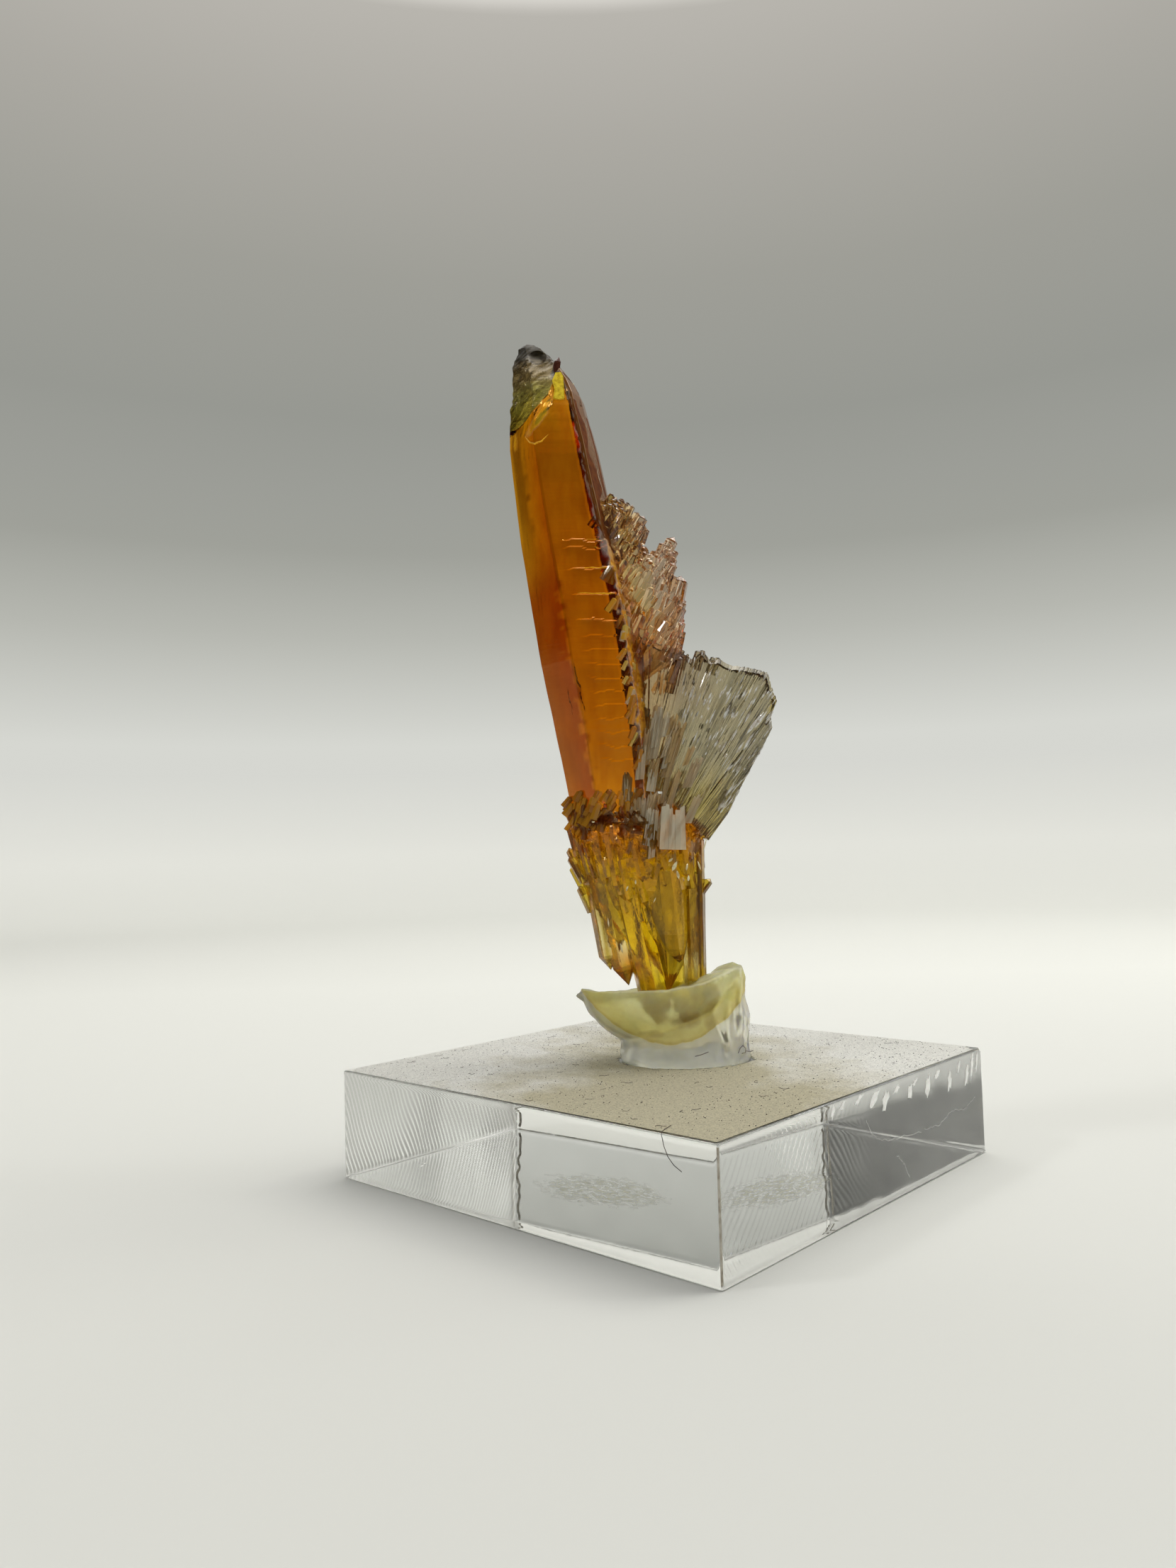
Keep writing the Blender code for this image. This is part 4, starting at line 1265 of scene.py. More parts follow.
# Outlines of the facets, and the line of the notch's painted highlight, along u and z
LEMON_FACET = [
    (-8.05, 65.9), (-7.75, 66.7), (-7.3, 66.75), (-7.1, 66.3), (-7.05, 64.3), (-7.55, 64.2), (-8.0, 64.3),
    (-7.85, 65.1),
]
BROWN_FACET = [(-7.15, 67.0), (-6.6, 66.7), (-5.85, 65.6), (-5.6, 64.3), (-6.85, 64.25)]
NOTCH = [(-10.45, 61.2), (-10.05, 60.55), (-9.6, 60.25), (-9.05, 60.45), (-8.45, 61.1)]


def pale_edge():
    """The pale narrow face along the prism's right edge."""
    rings = []
    for z in np.arange(53.4, 66.9, 0.25):
        centre, half = half_of(z)
        sway = 0.05 * wave((0.0, 0.0, z), 0.8, 2.0) + 0.03 * wave((0.0, 0.0, z), 0.25, 5.0)
        narrow = ease(53.0, 58.0, z) * ease(67.2, 65.0, z)
        left, right = 0.98 - 0.13 * narrow + 0.5 * sway, 1.0
        ring = []
        for share, proud in ((left, 0.05), (max(left + 0.03, 0.92), 0.07), (right, 0.0)):
            u = centre + share * half
            ring.append((u - 0.02, front_of(u, z, proud), z))
        ring += [(centre + half - 0.25, 0.30 * half, z), (centre + 0.9 * half, 0.1 * half, z)]
        rings.append(ring)
    low, high = rings[0][0], rings[-1][0]
    foot = (low[0] + 0.3, low[1] + 0.4, low[2])
    shape = loft(rings, foot, (high[0] + 0.2, high[1] + 0.4, high[2] + 0.1))
    graph = Graph("pale_edge")
    share = graph.over(graph.minus(graph.axis("Z"), 53.0), 14.0)
    graph.set("Base Color", graph.ramp(share, [
        (0.0, (0.95, 0.60, 0.38)), (0.45, (1.0, 0.80, 0.62)), (0.8, (1.0, 0.90, 0.66)),
        (1.0, (1.0, 0.90, 0.36)),
    ]))
    graph.set("Transmission Weight", 0.1)
    graph.set("IOR", 1.3)
    graph.set("Specular Tint", (1.0, 0.85, 0.65))
    graph.set("Roughness", 0.4)
    graph.bump(graph.noise(0.3, 3.0), 0.2, 0.03)
    crystal_mesh("pale_edge", shape, graph.material, smooth=True)


def dark_band():
    """The dark ragged band beside the pale edge."""
    rings = []
    for z in np.arange(50.6, 64.4, 0.2):
        centre, half = half_of(z)
        sway = 0.05 * wave((3.0, 0.0, z), 0.9, 6.0) + 0.05 * wave((3.0, 0.0, z), 0.3, 8.0)
        left = 0.84 - 0.28 * ease(50.0, 53.5, z) + sway
        ring = []
        for share in (left, max(left + 0.02, 0.67), 0.91, 0.96):
            u = centre + share * half
            ring.append((u, front_of(u, z, 0.025), z))
        ring += [(centre + 0.90 * half, 0.1 * half, z), (centre + left * half, -0.5 * half, z)]
        rings.append(ring)
    shape = loft(rings, np.mean(rings[0], axis=0), np.mean(rings[-1], axis=0))
    graph = Graph("dark_band")
    tone = graph.ramp(graph.noise(0.5, 4.0), [(0.35, (0.085, 0.018, 0.002)), (0.65, (0.15, 0.04, 0.004))])
    graph.set("Base Color", tone)
    graph.set("Specular IOR Level", 0.05)
    graph.set("Roughness", 0.5)
    graph.bump(graph.noise(0.3, 3.0), 0.3, 0.03)
    crystal_mesh("dark_band", shape, graph.material)


def facet_patch(name, outline, proud, material):
    """A thin facet that lies on the front of the prism's top."""
    front = [(u, front_of(u, z, proud), z) for u, z in outline]
    back = [(u, v + 0.5, z) for u, v, z in front]
    crystal_mesh(name, loft([back, front], np.mean(back, axis=0), np.mean(front, axis=0)), material)


def top_details():
    """The lemon and brown facets under the melted cap, the notch's painted highlight and the dark horn. The
    lemon facet's yellow is the crystal's own, and its brightness is painted light shining through the thin
    facet.
    """
    lemon = highlight_and_mark_material("lemon_facet", (1.0, 0.76, 0.05), 0.15, 0.1)
    facet_patch("lemon_facet", LEMON_FACET, 0.30, lemon)
    brown = highlight_and_mark_material("brown_facet", (0.16, 0.06, 0.015), 0.2, 0.3)
    facet_patch("brown_facet", BROWN_FACET, 0.22, brown)
    points, radii = [], []
    for k in range(25):
        u, z = on_row(NOTCH, k / 24)
        points.append((u, front_of(u, z, 0.03), z))
        radii.append(0.09 * math.sin(math.pi * (0.05 + 0.9 * k / 24)))
    crystal_mesh("notch", streak(points, radii), highlight_and_mark_material("notch", (1.0, 0.50, 0.03), 0.4, 0.1))
    crystal_mesh("dark_horn", rod(*HORN, 5), highlight_and_mark_material("dark_horn", (0.13, 0.045, 0.03), 0.1, 0.4))


# Plates of side-by-side fibres, which the crust, the wing and the plates over the prism's foot share

# The part of half a circle that a plate's fullness runs over from edge to edge
PLATE_EDGE = (0.12, 0.88)
FIBRE_BEVEL = 0.5
TIP_THICKNESS = 0.3


def parted(count, draw):
    """Uneven shares from 0 to 1 that part a plate into strips."""
    widths = np.array([draw.uniform(0.4, 1.7) for _ in range(count)])
    return np.concatenate([[0.0], np.cumsum(widths) / widths.sum()])


def on_row(points, share):
    """The place at a share of the way along a row of points that count as evenly spaced."""
    points = np.asarray(points, float)
    spot = share * (len(points) - 1)
    return np.array([np.interp(spot, np.arange(len(points)), points[:, k]) for k in range(points.shape[1])])


def fullness_at(share):
    """How full a plate is at a share of its width."""
    low, high = PLATE_EDGE
    return math.sqrt(math.sin(math.pi * (low + (high - low) * share)))


def fibre_plate(feet, tips, middle, halves, strips, seed, step, tilt, tooth, levels):
    """One closed plate of fibres from its foot to its tips, with a small step and tilt at each strip."""
    draw = random.Random(seed)
    shares = parted(strips, draw)
    columns = []
    for low, high in zip(shares, shares[1:]):
        steps = [draw.uniform(-step, step) for _ in range(4)]
        tilts = [draw.uniform(-tilt, tilt) for _ in range(2)]
        bends = [draw.uniform(0.3, 0.95) for _ in range(2)]
        shorter = tooth * draw.random() ** 2
        inset = 0.03 * (high - low)
        for side, share in ((-1.0, low + inset), (1.0, high - inset)):
            foot, tip = on_row(feet, share), on_row(tips, share)
            length = np.linalg.norm(tip - foot)
            tip = tip - (tip - foot) * shorter / length
            fullness = fullness_at(share)
            neck = 1.0 - FIBRE_BEVEL / length
            front, back = [], []
            for t in [neck * k / (levels - 1) for k in range(levels)] + [1.0]:
                u, z = foot + (tip - foot) * t
                half = (halves[0] + (halves[1] - halves[0]) * t) * fullness
                half *= TIP_THICKNESS if t == 1.0 else 1.0
                ripple = 0.05 * wave((u, seed, z), 1.8, 4.0)
                ahead = half + steps[0] + steps[1] * (t > bends[0]) + tilts[0] * side + ripple
                behind = half + steps[2] + steps[3] * (t > bends[1]) + tilts[1] * side - ripple
                front.append((u, middle - max(ahead, 0.05), z))
                back.append((u, middle + max(behind, 0.05), z))
            columns.append(front + back[::-1])
    return loft(columns, np.mean(columns[0], axis=0), np.mean(columns[-1], axis=0))


def right_edge(z):
    """Where the prism's right side is at a height."""
    centre, half = half_of(z)
    return centre + half


def blended(base, layers):
    """A colour with others laid over it by their shares."""
    colour = np.array(base, float)
    for share, over in layers:
        share = min(max(float(share), 0.0), 1.0)
        colour = colour * (1.0 - share) + np.array(over, float) * share
    return (*colour, 1.0)


# The fibrous wing

WING_TIPS = [
    (-1.1, 44.2), (0.3, 43.7), (2.33, 42.92), (3.1, 42.28), (4.07, 42.94), (4.7, 42.15), (5.45, 42.2),
    (6.4, 41.62), (7.36, 41.54), (8.1, 41.35), (8.83, 41.19), (9.5, 40.92), (9.8, 39.7), (10.21, 38.42),
    (9.6, 37.25), (9.74, 36.21), (8.02, 33.24), (6.85, 31.2), (6.0, 29.5),
]
WING_FOOT = ((-1.2, 32.5), (3.9, 26.9))
WING_MIDDLE = -0.7
WING_HALF = (2.4, 1.15)
# Blunt crystals on the wing's upper rim: start, end and radius
WING_KNOBS = [
    ((1.6, -0.9, 41.6), (2.45, -1.0, 43.05), 0.2), ((2.2, -0.6, 41.3), (2.85, -0.7, 42.75), 0.13),
    ((3.2, -0.8, 41.4), (3.75, -0.9, 43.0), 0.33), ((3.6, -0.5, 41.2), (4.15, -0.5, 43.1), 0.26),
    ((4.3, -0.9, 40.9), (4.95, -1.0, 42.4), 0.24), ((4.7, -0.6, 40.8), (5.45, -0.6, 42.4), 0.3),
]
# Painted highlights: white streaks in the wing's front, for light reflected in its cracks: both ends and
# half width
WING_HIGHLIGHT_STREAKS = [
    ((4.75, 29.3), (5.6, 31.3), 0.28), ((7.3, 35.6), (8.9, 37.5), 0.16), ((8.0, 36.1), (9.2, 37.6), 0.10),
    ((7.0, 34.3), (8.3, 36.2), 0.14), ((5.5, 36.9), (6.3, 38.6), 0.2), ((6.1, 37.0), (6.6, 38.0), 0.16),
]
# Thin white slivers of painted highlight along the wing's fibres
WING_HIGHLIGHT_SLIVERS = 260


def wing_tint(u, v, z):
    """Grey-green clear, mauve at the upper left, stained near the prism and low down, yellow at the tip."""
    cloud = patchy((u, v, z), 1.1, 6.0)
    near = 1.0 - ease(0.2, 2.8, u - right_edge(z) + 0.5 * cloud)
    return blended((0.52, 0.46, 0.32), [
        (ease(6.0, 2.0, u) * ease(36.0, 40.0, z) * 0.8, (0.48, 0.37, 0.25)),
        (0.8 * ease(34.0, 29.0, z - 0.4 * cloud), (0.62, 0.50, 0.16)),
        (0.7 * near * (0.45 + 0.55 * cloud), (0.74, 0.50, 0.22)),
        (ease(9.3, 10.1, u) * 0.9, (0.90, 0.66, 0.08)),
        (0.45 * ease(0.55, 0.9, patchy((u, v, z), 0.5, 9.0)), (0.50, 0.38, 0.20)),
    ])


def plate_material(name, ior, colour, density, see_through=1.0):
    """Clear fibrous zincite with fine lines along its fibres."""
    graph = clear(name, ior, 0.05)
    graph.set("Transmission Weight", see_through)
    graph.set("Base Color", graph.tint())
    leaning = graph.stretched((1.0, 1.0, 0.2), (0.0, math.radians(35.0), 0.0))
    lines = graph.noise(0.22, 3.0, 0.6, 0.0, leaning)
    graph.set("Roughness", graph.plus(graph.times(lines, 0.10), 0.02))
    graph.bump(lines, 0.15, 0.03)
    graph.absorb(colour, density)
    return graph.material


def spindle(start, end, width, depth):
    """A flat spindle between two points."""
    points = [np.array(start) + (np.array(end) - np.array(start)) * t for t in (0.0, 0.25, 0.5, 0.8, 1.0)]
    return streak(points, [0.0, 0.8 * width, width, 0.6 * width, 0.0], depth / width)


def wing():
    """The fibrous wing, its knobs, and the white streaks of painted highlight in its skin."""
    plate = fibre_plate(WING_FOOT, WING_TIPS, WING_MIDDLE, WING_HALF, 120, 21, 0.045, 0.035, 0.10, 30)
    knobs = [rod(start, end, radius, 0.85, 6, 0.3, 0.5) for start, end, radius in WING_KNOBS]
    spots, faces = joined([plate] + knobs)
    material = plate_material("fibrous_wing", 1.6, (0.50, 0.48, 0.30), 0.16)
    tints = [wing_tint(*spot) for spot in spots]
    crystal_mesh("fibrous_wing", (spots, faces), material, tints)
    draw = random.Random(77)
    slivers = []
    for start, end, width in WING_HIGHLIGHT_STREAKS:
        slivers.append(spindle((start[0], -2.35, start[1]), (end[0], -2.0, end[1]), width, 0.05))
    # Painted highlights: thin white slivers near the wing's front, and some at its back
    for _ in range(WING_HIGHLIGHT_SLIVERS):
        share = draw.uniform(0.15, 0.97)
        foot, tip = on_row(WING_FOOT, share), on_row(WING_TIPS, share)
        t = draw.uniform(0.35, 0.95)
        length = draw.uniform(0.3, 1.5) / np.linalg.norm(tip - foot)
        low, high = foot + (tip - foot) * t, foot + (tip - foot) * min(t + length, 0.985)
        fullness = fullness_at(share)
        fronts = []
        for place in (t, min(t + length, 0.985)):
            half = WING_HALF[0] + (WING_HALF[1] - WING_HALF[0]) * place
            fronts.append(WING_MIDDLE - (half * fullness + draw.uniform(0.0, 0.06)))
        if draw.random() < 0.25:
            fronts = [-f - 1.4 for f in fronts]
        start, end = (low[0], fronts[0], low[1]), (high[0], fronts[1], high[1])
        slivers.append(spindle(start, end, draw.uniform(0.02, 0.085), 0.025))
    white = highlight_and_mark_material("white_highlight_streak", (0.97, 0.97, 0.93), 0.12, 0.2)
    crystal_mesh("wing_highlight_streaks", joined(slivers), white)


# The needle crust: its outline, and the direction and places of its needles

CRUST_TIPS = [
    (-2.8, 56.95), (-2.1, 56.4), (-1.35, 55.9), (-0.7, 54.7), (-0.25, 53.8), (-0.95, 52.7), (-0.4, 52.3),
    (0.12, 51.85), (0.62, 52.0), (1.1, 51.9), (1.85, 52.85), (2.35, 51.9), (1.6, 50.5), (2.05, 49.6),
    (2.9, 48.0), (2.6, 46.7), (2.58, 45.4), (2.45, 44.2), (2.3, 43.0),
]
CRUST_LEAN = math.radians(33.0)
CRUST_FOOT = ((-4.4, 54.5), (-1.5, 40.0))
CRUST_COVER = 0.8
CRUST_HALF = (2.5, 2.0)
# Larger blunt crystals: start, end and radius
CRUST_CRYSTALS = [
    ((-0.6, -0.5, 48.2), (1.95, -0.8, 52.8), 0.62), ((1.0, -0.8, 43.6), (2.45, -1.0, 49.4), 0.85),
    ((0.2, 1.0, 45.0), (2.0, 1.4, 49.8), 0.7),
]
# Rows of needles through the crust's depth, how far they reach and how close the needles stand
CRUST_ROWS = 7
CRUST_REACH = (-2.5, 2.3)
CRUST_SPACING = 0.62
# Short needles on the crust's front, and its right rim there: height and u
SHINGLES = 80
SHINGLE_RIM = ([38.0, 43.0, 48.0, 52.0, 56.0], [3.0, 2.3, 2.6, 1.2, -1.6])


def crust_tint(u, v, z):
    """Pinkish clear, with an olive and brown stain towards the prism."""
    cloud = patchy((u, v, z), 0.9, 2.0)
    away = u - right_edge(z)
    near = 1.0 - ease(0.3, 2.3, away + 0.9 * (cloud - 0.5))
    stain = (0.72, 0.50, 0.12) if z > 46.0 else (0.82, 0.48, 0.14)
    return blended((0.80, 0.64, 0.48), [
        (0.5 * ease(48.0, 44.0, z), (0.88, 0.62, 0.36)),
        (near * (0.5 + 0.5 * cloud), stain),
    ])


def crust():
    """The mass of the crust, its needles and its larger blunt crystals."""
    draw = random.Random(11)
    cover = np.array([math.sin(CRUST_LEAN), math.cos(CRUST_LEAN)]) * CRUST_COVER
    tips = [tuple(np.array(tip) - cover) for tip in CRUST_TIPS]
    parts = [fibre_plate(CRUST_FOOT, tips, 0.0, CRUST_HALF, 40, 17, 0.10, 0.06, 0.3, 8)]
    for start, end, radius in CRUST_CRYSTALS:
        parts.append(rod(start, end, radius, 0.85, 6, draw.uniform(0.0, 1.0), 0.7))
    count = int(sum(math.dist(a, b) for a, b in zip(CRUST_TIPS, CRUST_TIPS[1:])) / CRUST_SPACING)
    for row in range(CRUST_ROWS):
        depth = CRUST_REACH[0] + (CRUST_REACH[1] - CRUST_REACH[0]) * row / (CRUST_ROWS - 1)
        for k in range(count):
            share = (k + draw.uniform(0.1, 0.9)) / count
            tip_u, tip_z = on_row(CRUST_TIPS, share)
            lean = CRUST_LEAN * (1.15 - 0.55 * share) + draw.uniform(-0.12, 0.12)
            way = np.array([math.sin(lean), 0.06 * depth + draw.uniform(-0.1, 0.1), math.cos(lean)])
            v = depth + draw.uniform(-0.25, 0.25)
            back = 0.22 * v ** 2 + abs(draw.gauss(0.0, 0.30))
            tip = np.array([tip_u, v, tip_z]) - way * back
            radius = draw.uniform(0.16, 0.32) if draw.random() < 0.7 else draw.uniform(0.32, 0.50)
            start = tip - way * draw.uniform(2.0, 3.4)
            parts.append(rod(start, tip, radius, 0.88, 6, draw.uniform(0.0, 1.0), 0.55))
    for _ in range(SHINGLES):
        z = draw.uniform(43.0, 55.5)
        rim = np.interp(z, *SHINGLE_RIM)
        left = right_edge(z) - 1.1
        u = left + (rim - left) * draw.random()
        lean = CRUST_LEAN * draw.uniform(0.6, 1.1)
        tip = np.array([u, -2.25 - 0.25 * draw.random(), z])
        way = np.array([math.sin(lean), -0.10, math.cos(lean)])
        radius = draw.uniform(0.25, 0.55)
        start = tip - way * draw.uniform(1.0, 2.2)
        parts.append(rod(start, tip, radius, 0.85, 6, draw.uniform(0.0, 1.0), 0.5))
    material = plate_material("needle_crust", 1.5, (0.80, 0.66, 0.52), 0.07)
    skin = fused(outward(make_mesh("needle_crust", *joined(parts), material)))
    crystal_piece(tinted(skin, crust_tint))


# Striated plates over the foot of the prism, and their colours

PLATE_TONES = [
    (0.95, 0.90, 0.72), (0.86, 0.72, 0.50), (0.80, 0.63, 0.36), (0.90, 0.79, 0.58), (0.80, 0.58, 0.28),
]
# The field that they cover, as left and right bounds along u by height
PLATE_FIELD = [
    (26.4, -0.4, 2.2), (27.8, -1.4, 2.9), (29.2, -3.4, 3.6), (31.5, -3.4, 3.7), (33.5, -2.3, 3.0),
    (35.5, -1.5, 2.6), (38.0, -0.6, 2.4),
]
PLATE_COUNT = 44
# Small orange crystals along the prism's right side under the crust, and over the seam of its foot
RUBBLE = 120
RUBBLE_TONES = [
    (0.98, 0.55, 0.05), (0.90, 0.42, 0.03), (0.75, 0.32, 0.03), (0.95, 0.70, 0.15), (0.90, 0.72, 0.45),
]
SEAM_RUBBLE = 80
SEAM_TONES = [(0.80, 0.38, 0.03), (0.60, 0.25, 0.02), (0.72, 0.33, 0.02), (0.45, 0.18, 0.02)]
# Half of a plate's thickness at its foot and at its tips
PLATE_HALF = (0.34, 0.22)
# The clear plate among them: left and right foot, left and right tip
CLEAR_PLATE = ((-0.3, 26.3), (1.9, 26.2), (0.0, 29.9), (1.9, 29.6))


def rubble(draw):
    """Small crystals with their colours, along the prism's right side and over the seam of its foot."""
    made = []
    for k in range(RUBBLE + SEAM_RUBBLE):
        if k < RUBBLE:
            z = draw.uniform(33.0, 50.5)
            u = right_edge(z) + draw.uniform(-1.9, 0.3)
        else:
            z = draw.uniform(28.6, 31.4)
            centre, half = half_of(z)
            u = centre + half * draw.uniform(-0.97, 0.8)
        lean = draw.uniform(0.1, 0.7)
        tip = np.array([u, front_of(u, z) - 0.12 * draw.random(), z])
        way = np.array([math.sin(lean), -0.12, math.cos(lean)])
        start = tip - way * draw.uniform(0.7, 1.6)
        part = rod(start, tip, draw.uniform(0.16, 0.38), 0.85, 6, draw.uniform(0.0, 1.0), 0.6)
        made.append((part, draw.choice(RUBBLE_TONES if k < RUBBLE else SEAM_TONES)))
    return made


def plates():
    """The striated plates over the prism's foot, in front and behind, and the small rubble."""
    draw = random.Random(37)
    parts, tints = [], []
    for i in range(PLATE_COUNT + 1):
        front = i % 5 != 4
        height = draw.uniform(27.6, 37.0 if front else 32.0)
        left, right = read(PLATE_FIELD, height)
        width = draw.uniform(0.4, 1.0)
        u = left + (right - width - left) * draw.random() ** (1.7 if height < 34.0 else 1.0)
        lean = math.radians(4.0 + 26.0 * (u - left) / (right - left)) + draw.uniform(-0.08, 0.08)
        length = draw.uniform(1.6, 4.2)
        run = np.array([math.sin(lean), math.cos(lean)]) * length
        foot = [(u - 0.5 * run[0], height - 0.5 * run[1]), (u + width - 0.5 * run[0], height - 0.5 * run[1])]
        foot[0] = (foot[0][0], foot[0][1] + draw.uniform(-0.3, 0.3))
        tip_left, tip_right = np.array(foot[0]) + run * draw.uniform(0.85, 1.1), np.array(foot[1]) + run
        depth = -3.35 + 0.09 * (height - 27.0) + draw.uniform(-0.25, 0.25)
        tone = draw.choice(PLATE_TONES)
        if i == PLATE_COUNT:
            foot, tip_left, tip_right = CLEAR_PLATE[:2], np.array(CLEAR_PLATE[2]), np.array(CLEAR_PLATE[3])
            depth, tone, front = -3.75, PLATE_TONES[0], True
        tips = []
        for k in range(5):
            spot_u, spot_z = tip_left + (tip_right - tip_left) * k / 4
            tips.append((spot_u, spot_z + draw.uniform(-0.35, 0.25)))
        strips = max(4, int(width / 0.11))
        middle = depth if front else -0.9 * depth
        part = fibre_plate(foot, tips, middle, PLATE_HALF, strips, 30 + i, 0.09, 0.06, 0.6, 8)
        parts.append(part)
        for u, v, z in part[0]:
            cloud = patchy((u, v, z), 0.7, 5.0)
            lined = patchy((9.0 * (u * math.cos(lean) - z * math.sin(lean)), v, 0.3 * z), 1.0, 2.0)
            stain = 0.35 * cloud if i < PLATE_COUNT else 0.0
            groove = 0.6 * ease(0.45, 0.7, lined)
            tints.append(blended(tone, [(stain, (0.66, 0.48, 0.22)), (groove, (0.60, 0.44, 0.27))]))
    for part, tone in rubble(draw):
        parts.append(part)
        tints += [(*tone, 1.0)] * len(part[0])
    material = plate_material("striated_plates", 1.35, (0.92, 0.86, 0.74), 0.03, 0.55)
    crystal_mesh("striated_plates", joined(parts), material, tints)


# The roots

# The mass under the prism: height, centre along u, half width and half depth
ROOT_MASS = [
    (30.9, -3.43, 3.83, 3.9), (30.2, -2.85, 4.45, 3.9), (28.0, -1.7, 5.5, 3.85), (25.0, -1.75, 5.2, 3.8),
    (22.0, -1.3, 4.5, 3.3), (19.3, -0.7, 3.3, 2.7), (17.6, 0.0, 2.4, 2.1),
]
# The mass is lower under the prism than beside it: how far, and the height from which it bends down
MASS_DROP = 2.05
MASS_BEND = 27.0
MASS_TOP = 30.65
MASS_SIDES = 60
ROOT_MASS_TOP = (-3.36, 0.0, 28.74)
ROOT_MASS_TIP = (0.4, 0.1, 14.2)
LEMON = (0.92, 0.74, 0.02)
AMBER = (0.66, 0.32, 0.02)
BROWN = (0.32, 0.13, 0.02)
OLIVE = (0.50, 0.38, 0.06)
SMOKE = (0.40, 0.29, 0.07)
PALE = (0.95, 0.93, 0.80)
# Single root crystals: buried end, tip, radius, shoulder, and their colours from the buried end to the tip
ROOTS = [
    ((-5.9, -0.8, 26.0), (-4.45, -1.1, 16.35), 0.95, 0.85, (BROWN, OLIVE, OLIVE, PALE, PALE, AMBER)),
    ((-4.7, -1.4, 24.5), (-3.0, -1.2, 15.05), 1.12, 0.95, (BROWN, OLIVE, OLIVE, PALE, AMBER, BROWN)),
    ((-2.9, -2.0, 23.5), (-0.65, -1.3, 12.4), 1.35, 0.9, (AMBER, LEMON, LEMON, LEMON, LEMON)),
    ((2.15, -1.9, 23.0), (2.2, -1.5, 12.6), 0.72, 0.9, (OLIVE, OLIVE, PALE, PALE)),
    ((2.9, -0.3, 27.0), (2.85, -0.2, 12.8), 0.85, 0.85, (OLIVE, OLIVE, BROWN, OLIVE, PALE)),
    ((-5.0, 1.3, 26.0), (-3.9, 0.9, 17.6), 1.15, 0.6, (BROWN, AMBER, OLIVE)),
    ((-3.2, 2.4, 26.5), (-1.9, 1.7, 15.9), 1.2, 0.8, (AMBER, OLIVE, LEMON, PALE)),
    ((-1.2, 2.6, 27.0), (-0.3, 1.6, 12.7), 1.45, 0.8, (AMBER, LEMON, LEMON)),
    ((1.3, 2.5, 27.0), (1.35, 1.5, 12.5), 1.3, 0.85, (OLIVE, SMOKE, LEMON)),
    ((2.6, 1.5, 26.0), (2.6, 1.0, 13.6), 1.0, 0.8, (OLIVE, OLIVE, PALE)),
]
# The smoky crystal at the front: height, centre along u, half width
SMOKY_CRYSTAL = [
    (25.7, 0.5, 0.8), (24.5, 0.1, 1.45), (23.0, 0.2, 1.7), (21.0, 0.3, 1.65), (19.2, 0.6, 1.3),
    (18.0, 0.87, 0.87), (17.2, 1.15, 0.4),
]
SMOKY_MIDDLE = -2.3
SMOKY_ENDS = ((0.5, -2.1, 26.0), (1.2, -2.1, 16.9))
# Small teeth on the mass's outline: tip, and the way from it to the buried end
TEETH = [
    ((-7.8, -0.3, 29.8), (1.3, 0.0, -3.0)), ((-7.72, 0.3, 26.6), (1.1, 0.0, -2.4)),
    ((-7.68, -0.7, 25.9), (1.2, 0.0, -2.2)), ((-7.5, 0.1, 25.1), (1.2, 0.0, -2.4)),
    ((-6.9, -0.6, 23.4), (1.0, 0.0, -2.2)), ((4.15, -0.4, 23.7), (-1.2, 0.0, -1.5)),
]
LESSER_ROOTS = 170
SEAM_CRYSTALS = 90
# How high the roots' ragged collar reaches over the prism's foot
COLLAR_RISE = 1.5
# Bright glints on the roots: u, z, length, half width, lean from the vertical
ROOT_GLINTS = [
    (0.9, 24.9, 0.9, 0.16, 0.5), (1.15, 24.2, 0.7, 0.12, -0.2), (0.6, 25.4, 0.5, 0.10, 0.9),
    (2.0, 23.9, 0.5, 0.10, 0.1), (1.9, 24.8, 0.6, 0.08, 0.2), (2.9, 24.9, 0.8, 0.07, -0.3),
    (-3.0, 23.2, 0.5, 0.07, 0.4), (-2.3, 23.7, 0.4, 0.07, 0.0), (3.4, 26.5, 1.2, 0.06, 0.3),
    (-0.8, 22.2, 0.5, 0.05, 0.5), (-4.6, 20.5, 0.8, 0.06, -0.1), (-3.6, 18.4, 0.9, 0.08, -0.2),
]


def root_tint(u, v, z):
    """Mottled orange-brown above, olive and yellow below."""
    cloud = patchy((u, v, z), 0.8, 1.0)
    fine = patchy((u, v, z), 0.35, 7.0)
    mottled = blended(OLIVE, [
        (ease(23.5, 27.5, z + 2.0 * cloud - 1.0), (0.60, 0.29, 0.03)),
        (ease(0.50, 0.75, cloud) * ease(29.0, 24.0, z), LEMON),
        (0.7 * ease(0.55, 0.8, fine), BROWN),
    ])
    best, colour = 0.12, mottled
    for start, end, radius, _, tones in ROOTS:
        start, end = np.array(start), np.array(end)
        spot, axis = np.array((u, v, z)) - start, end - start
        t = float(spot @ axis) / float(axis @ axis)
        miss = abs(float(np.linalg.norm(spot - t * axis)) / radius - 0.93)
        if 0.15 < t < 1.05 and miss < best:
            t += 0.05 * wave((u, v, z), 0.7, 2.0)
            places = np.linspace(0.0, 1.0, len(tones))
            best = miss
            colour = (*[float(np.interp(t, places, [tone[c] for tone in tones])) for c in range(3)], 1.0)
    centre, half = read(SMOKY_CRYSTAL[::-1], z)
    if v < -1.6 and 16.8 < z < 26.0 and abs(u - centre) < 0.97 * half:
        colour = blended(SMOKE, [(0.6 * cloud, OLIVE)])
    return colour


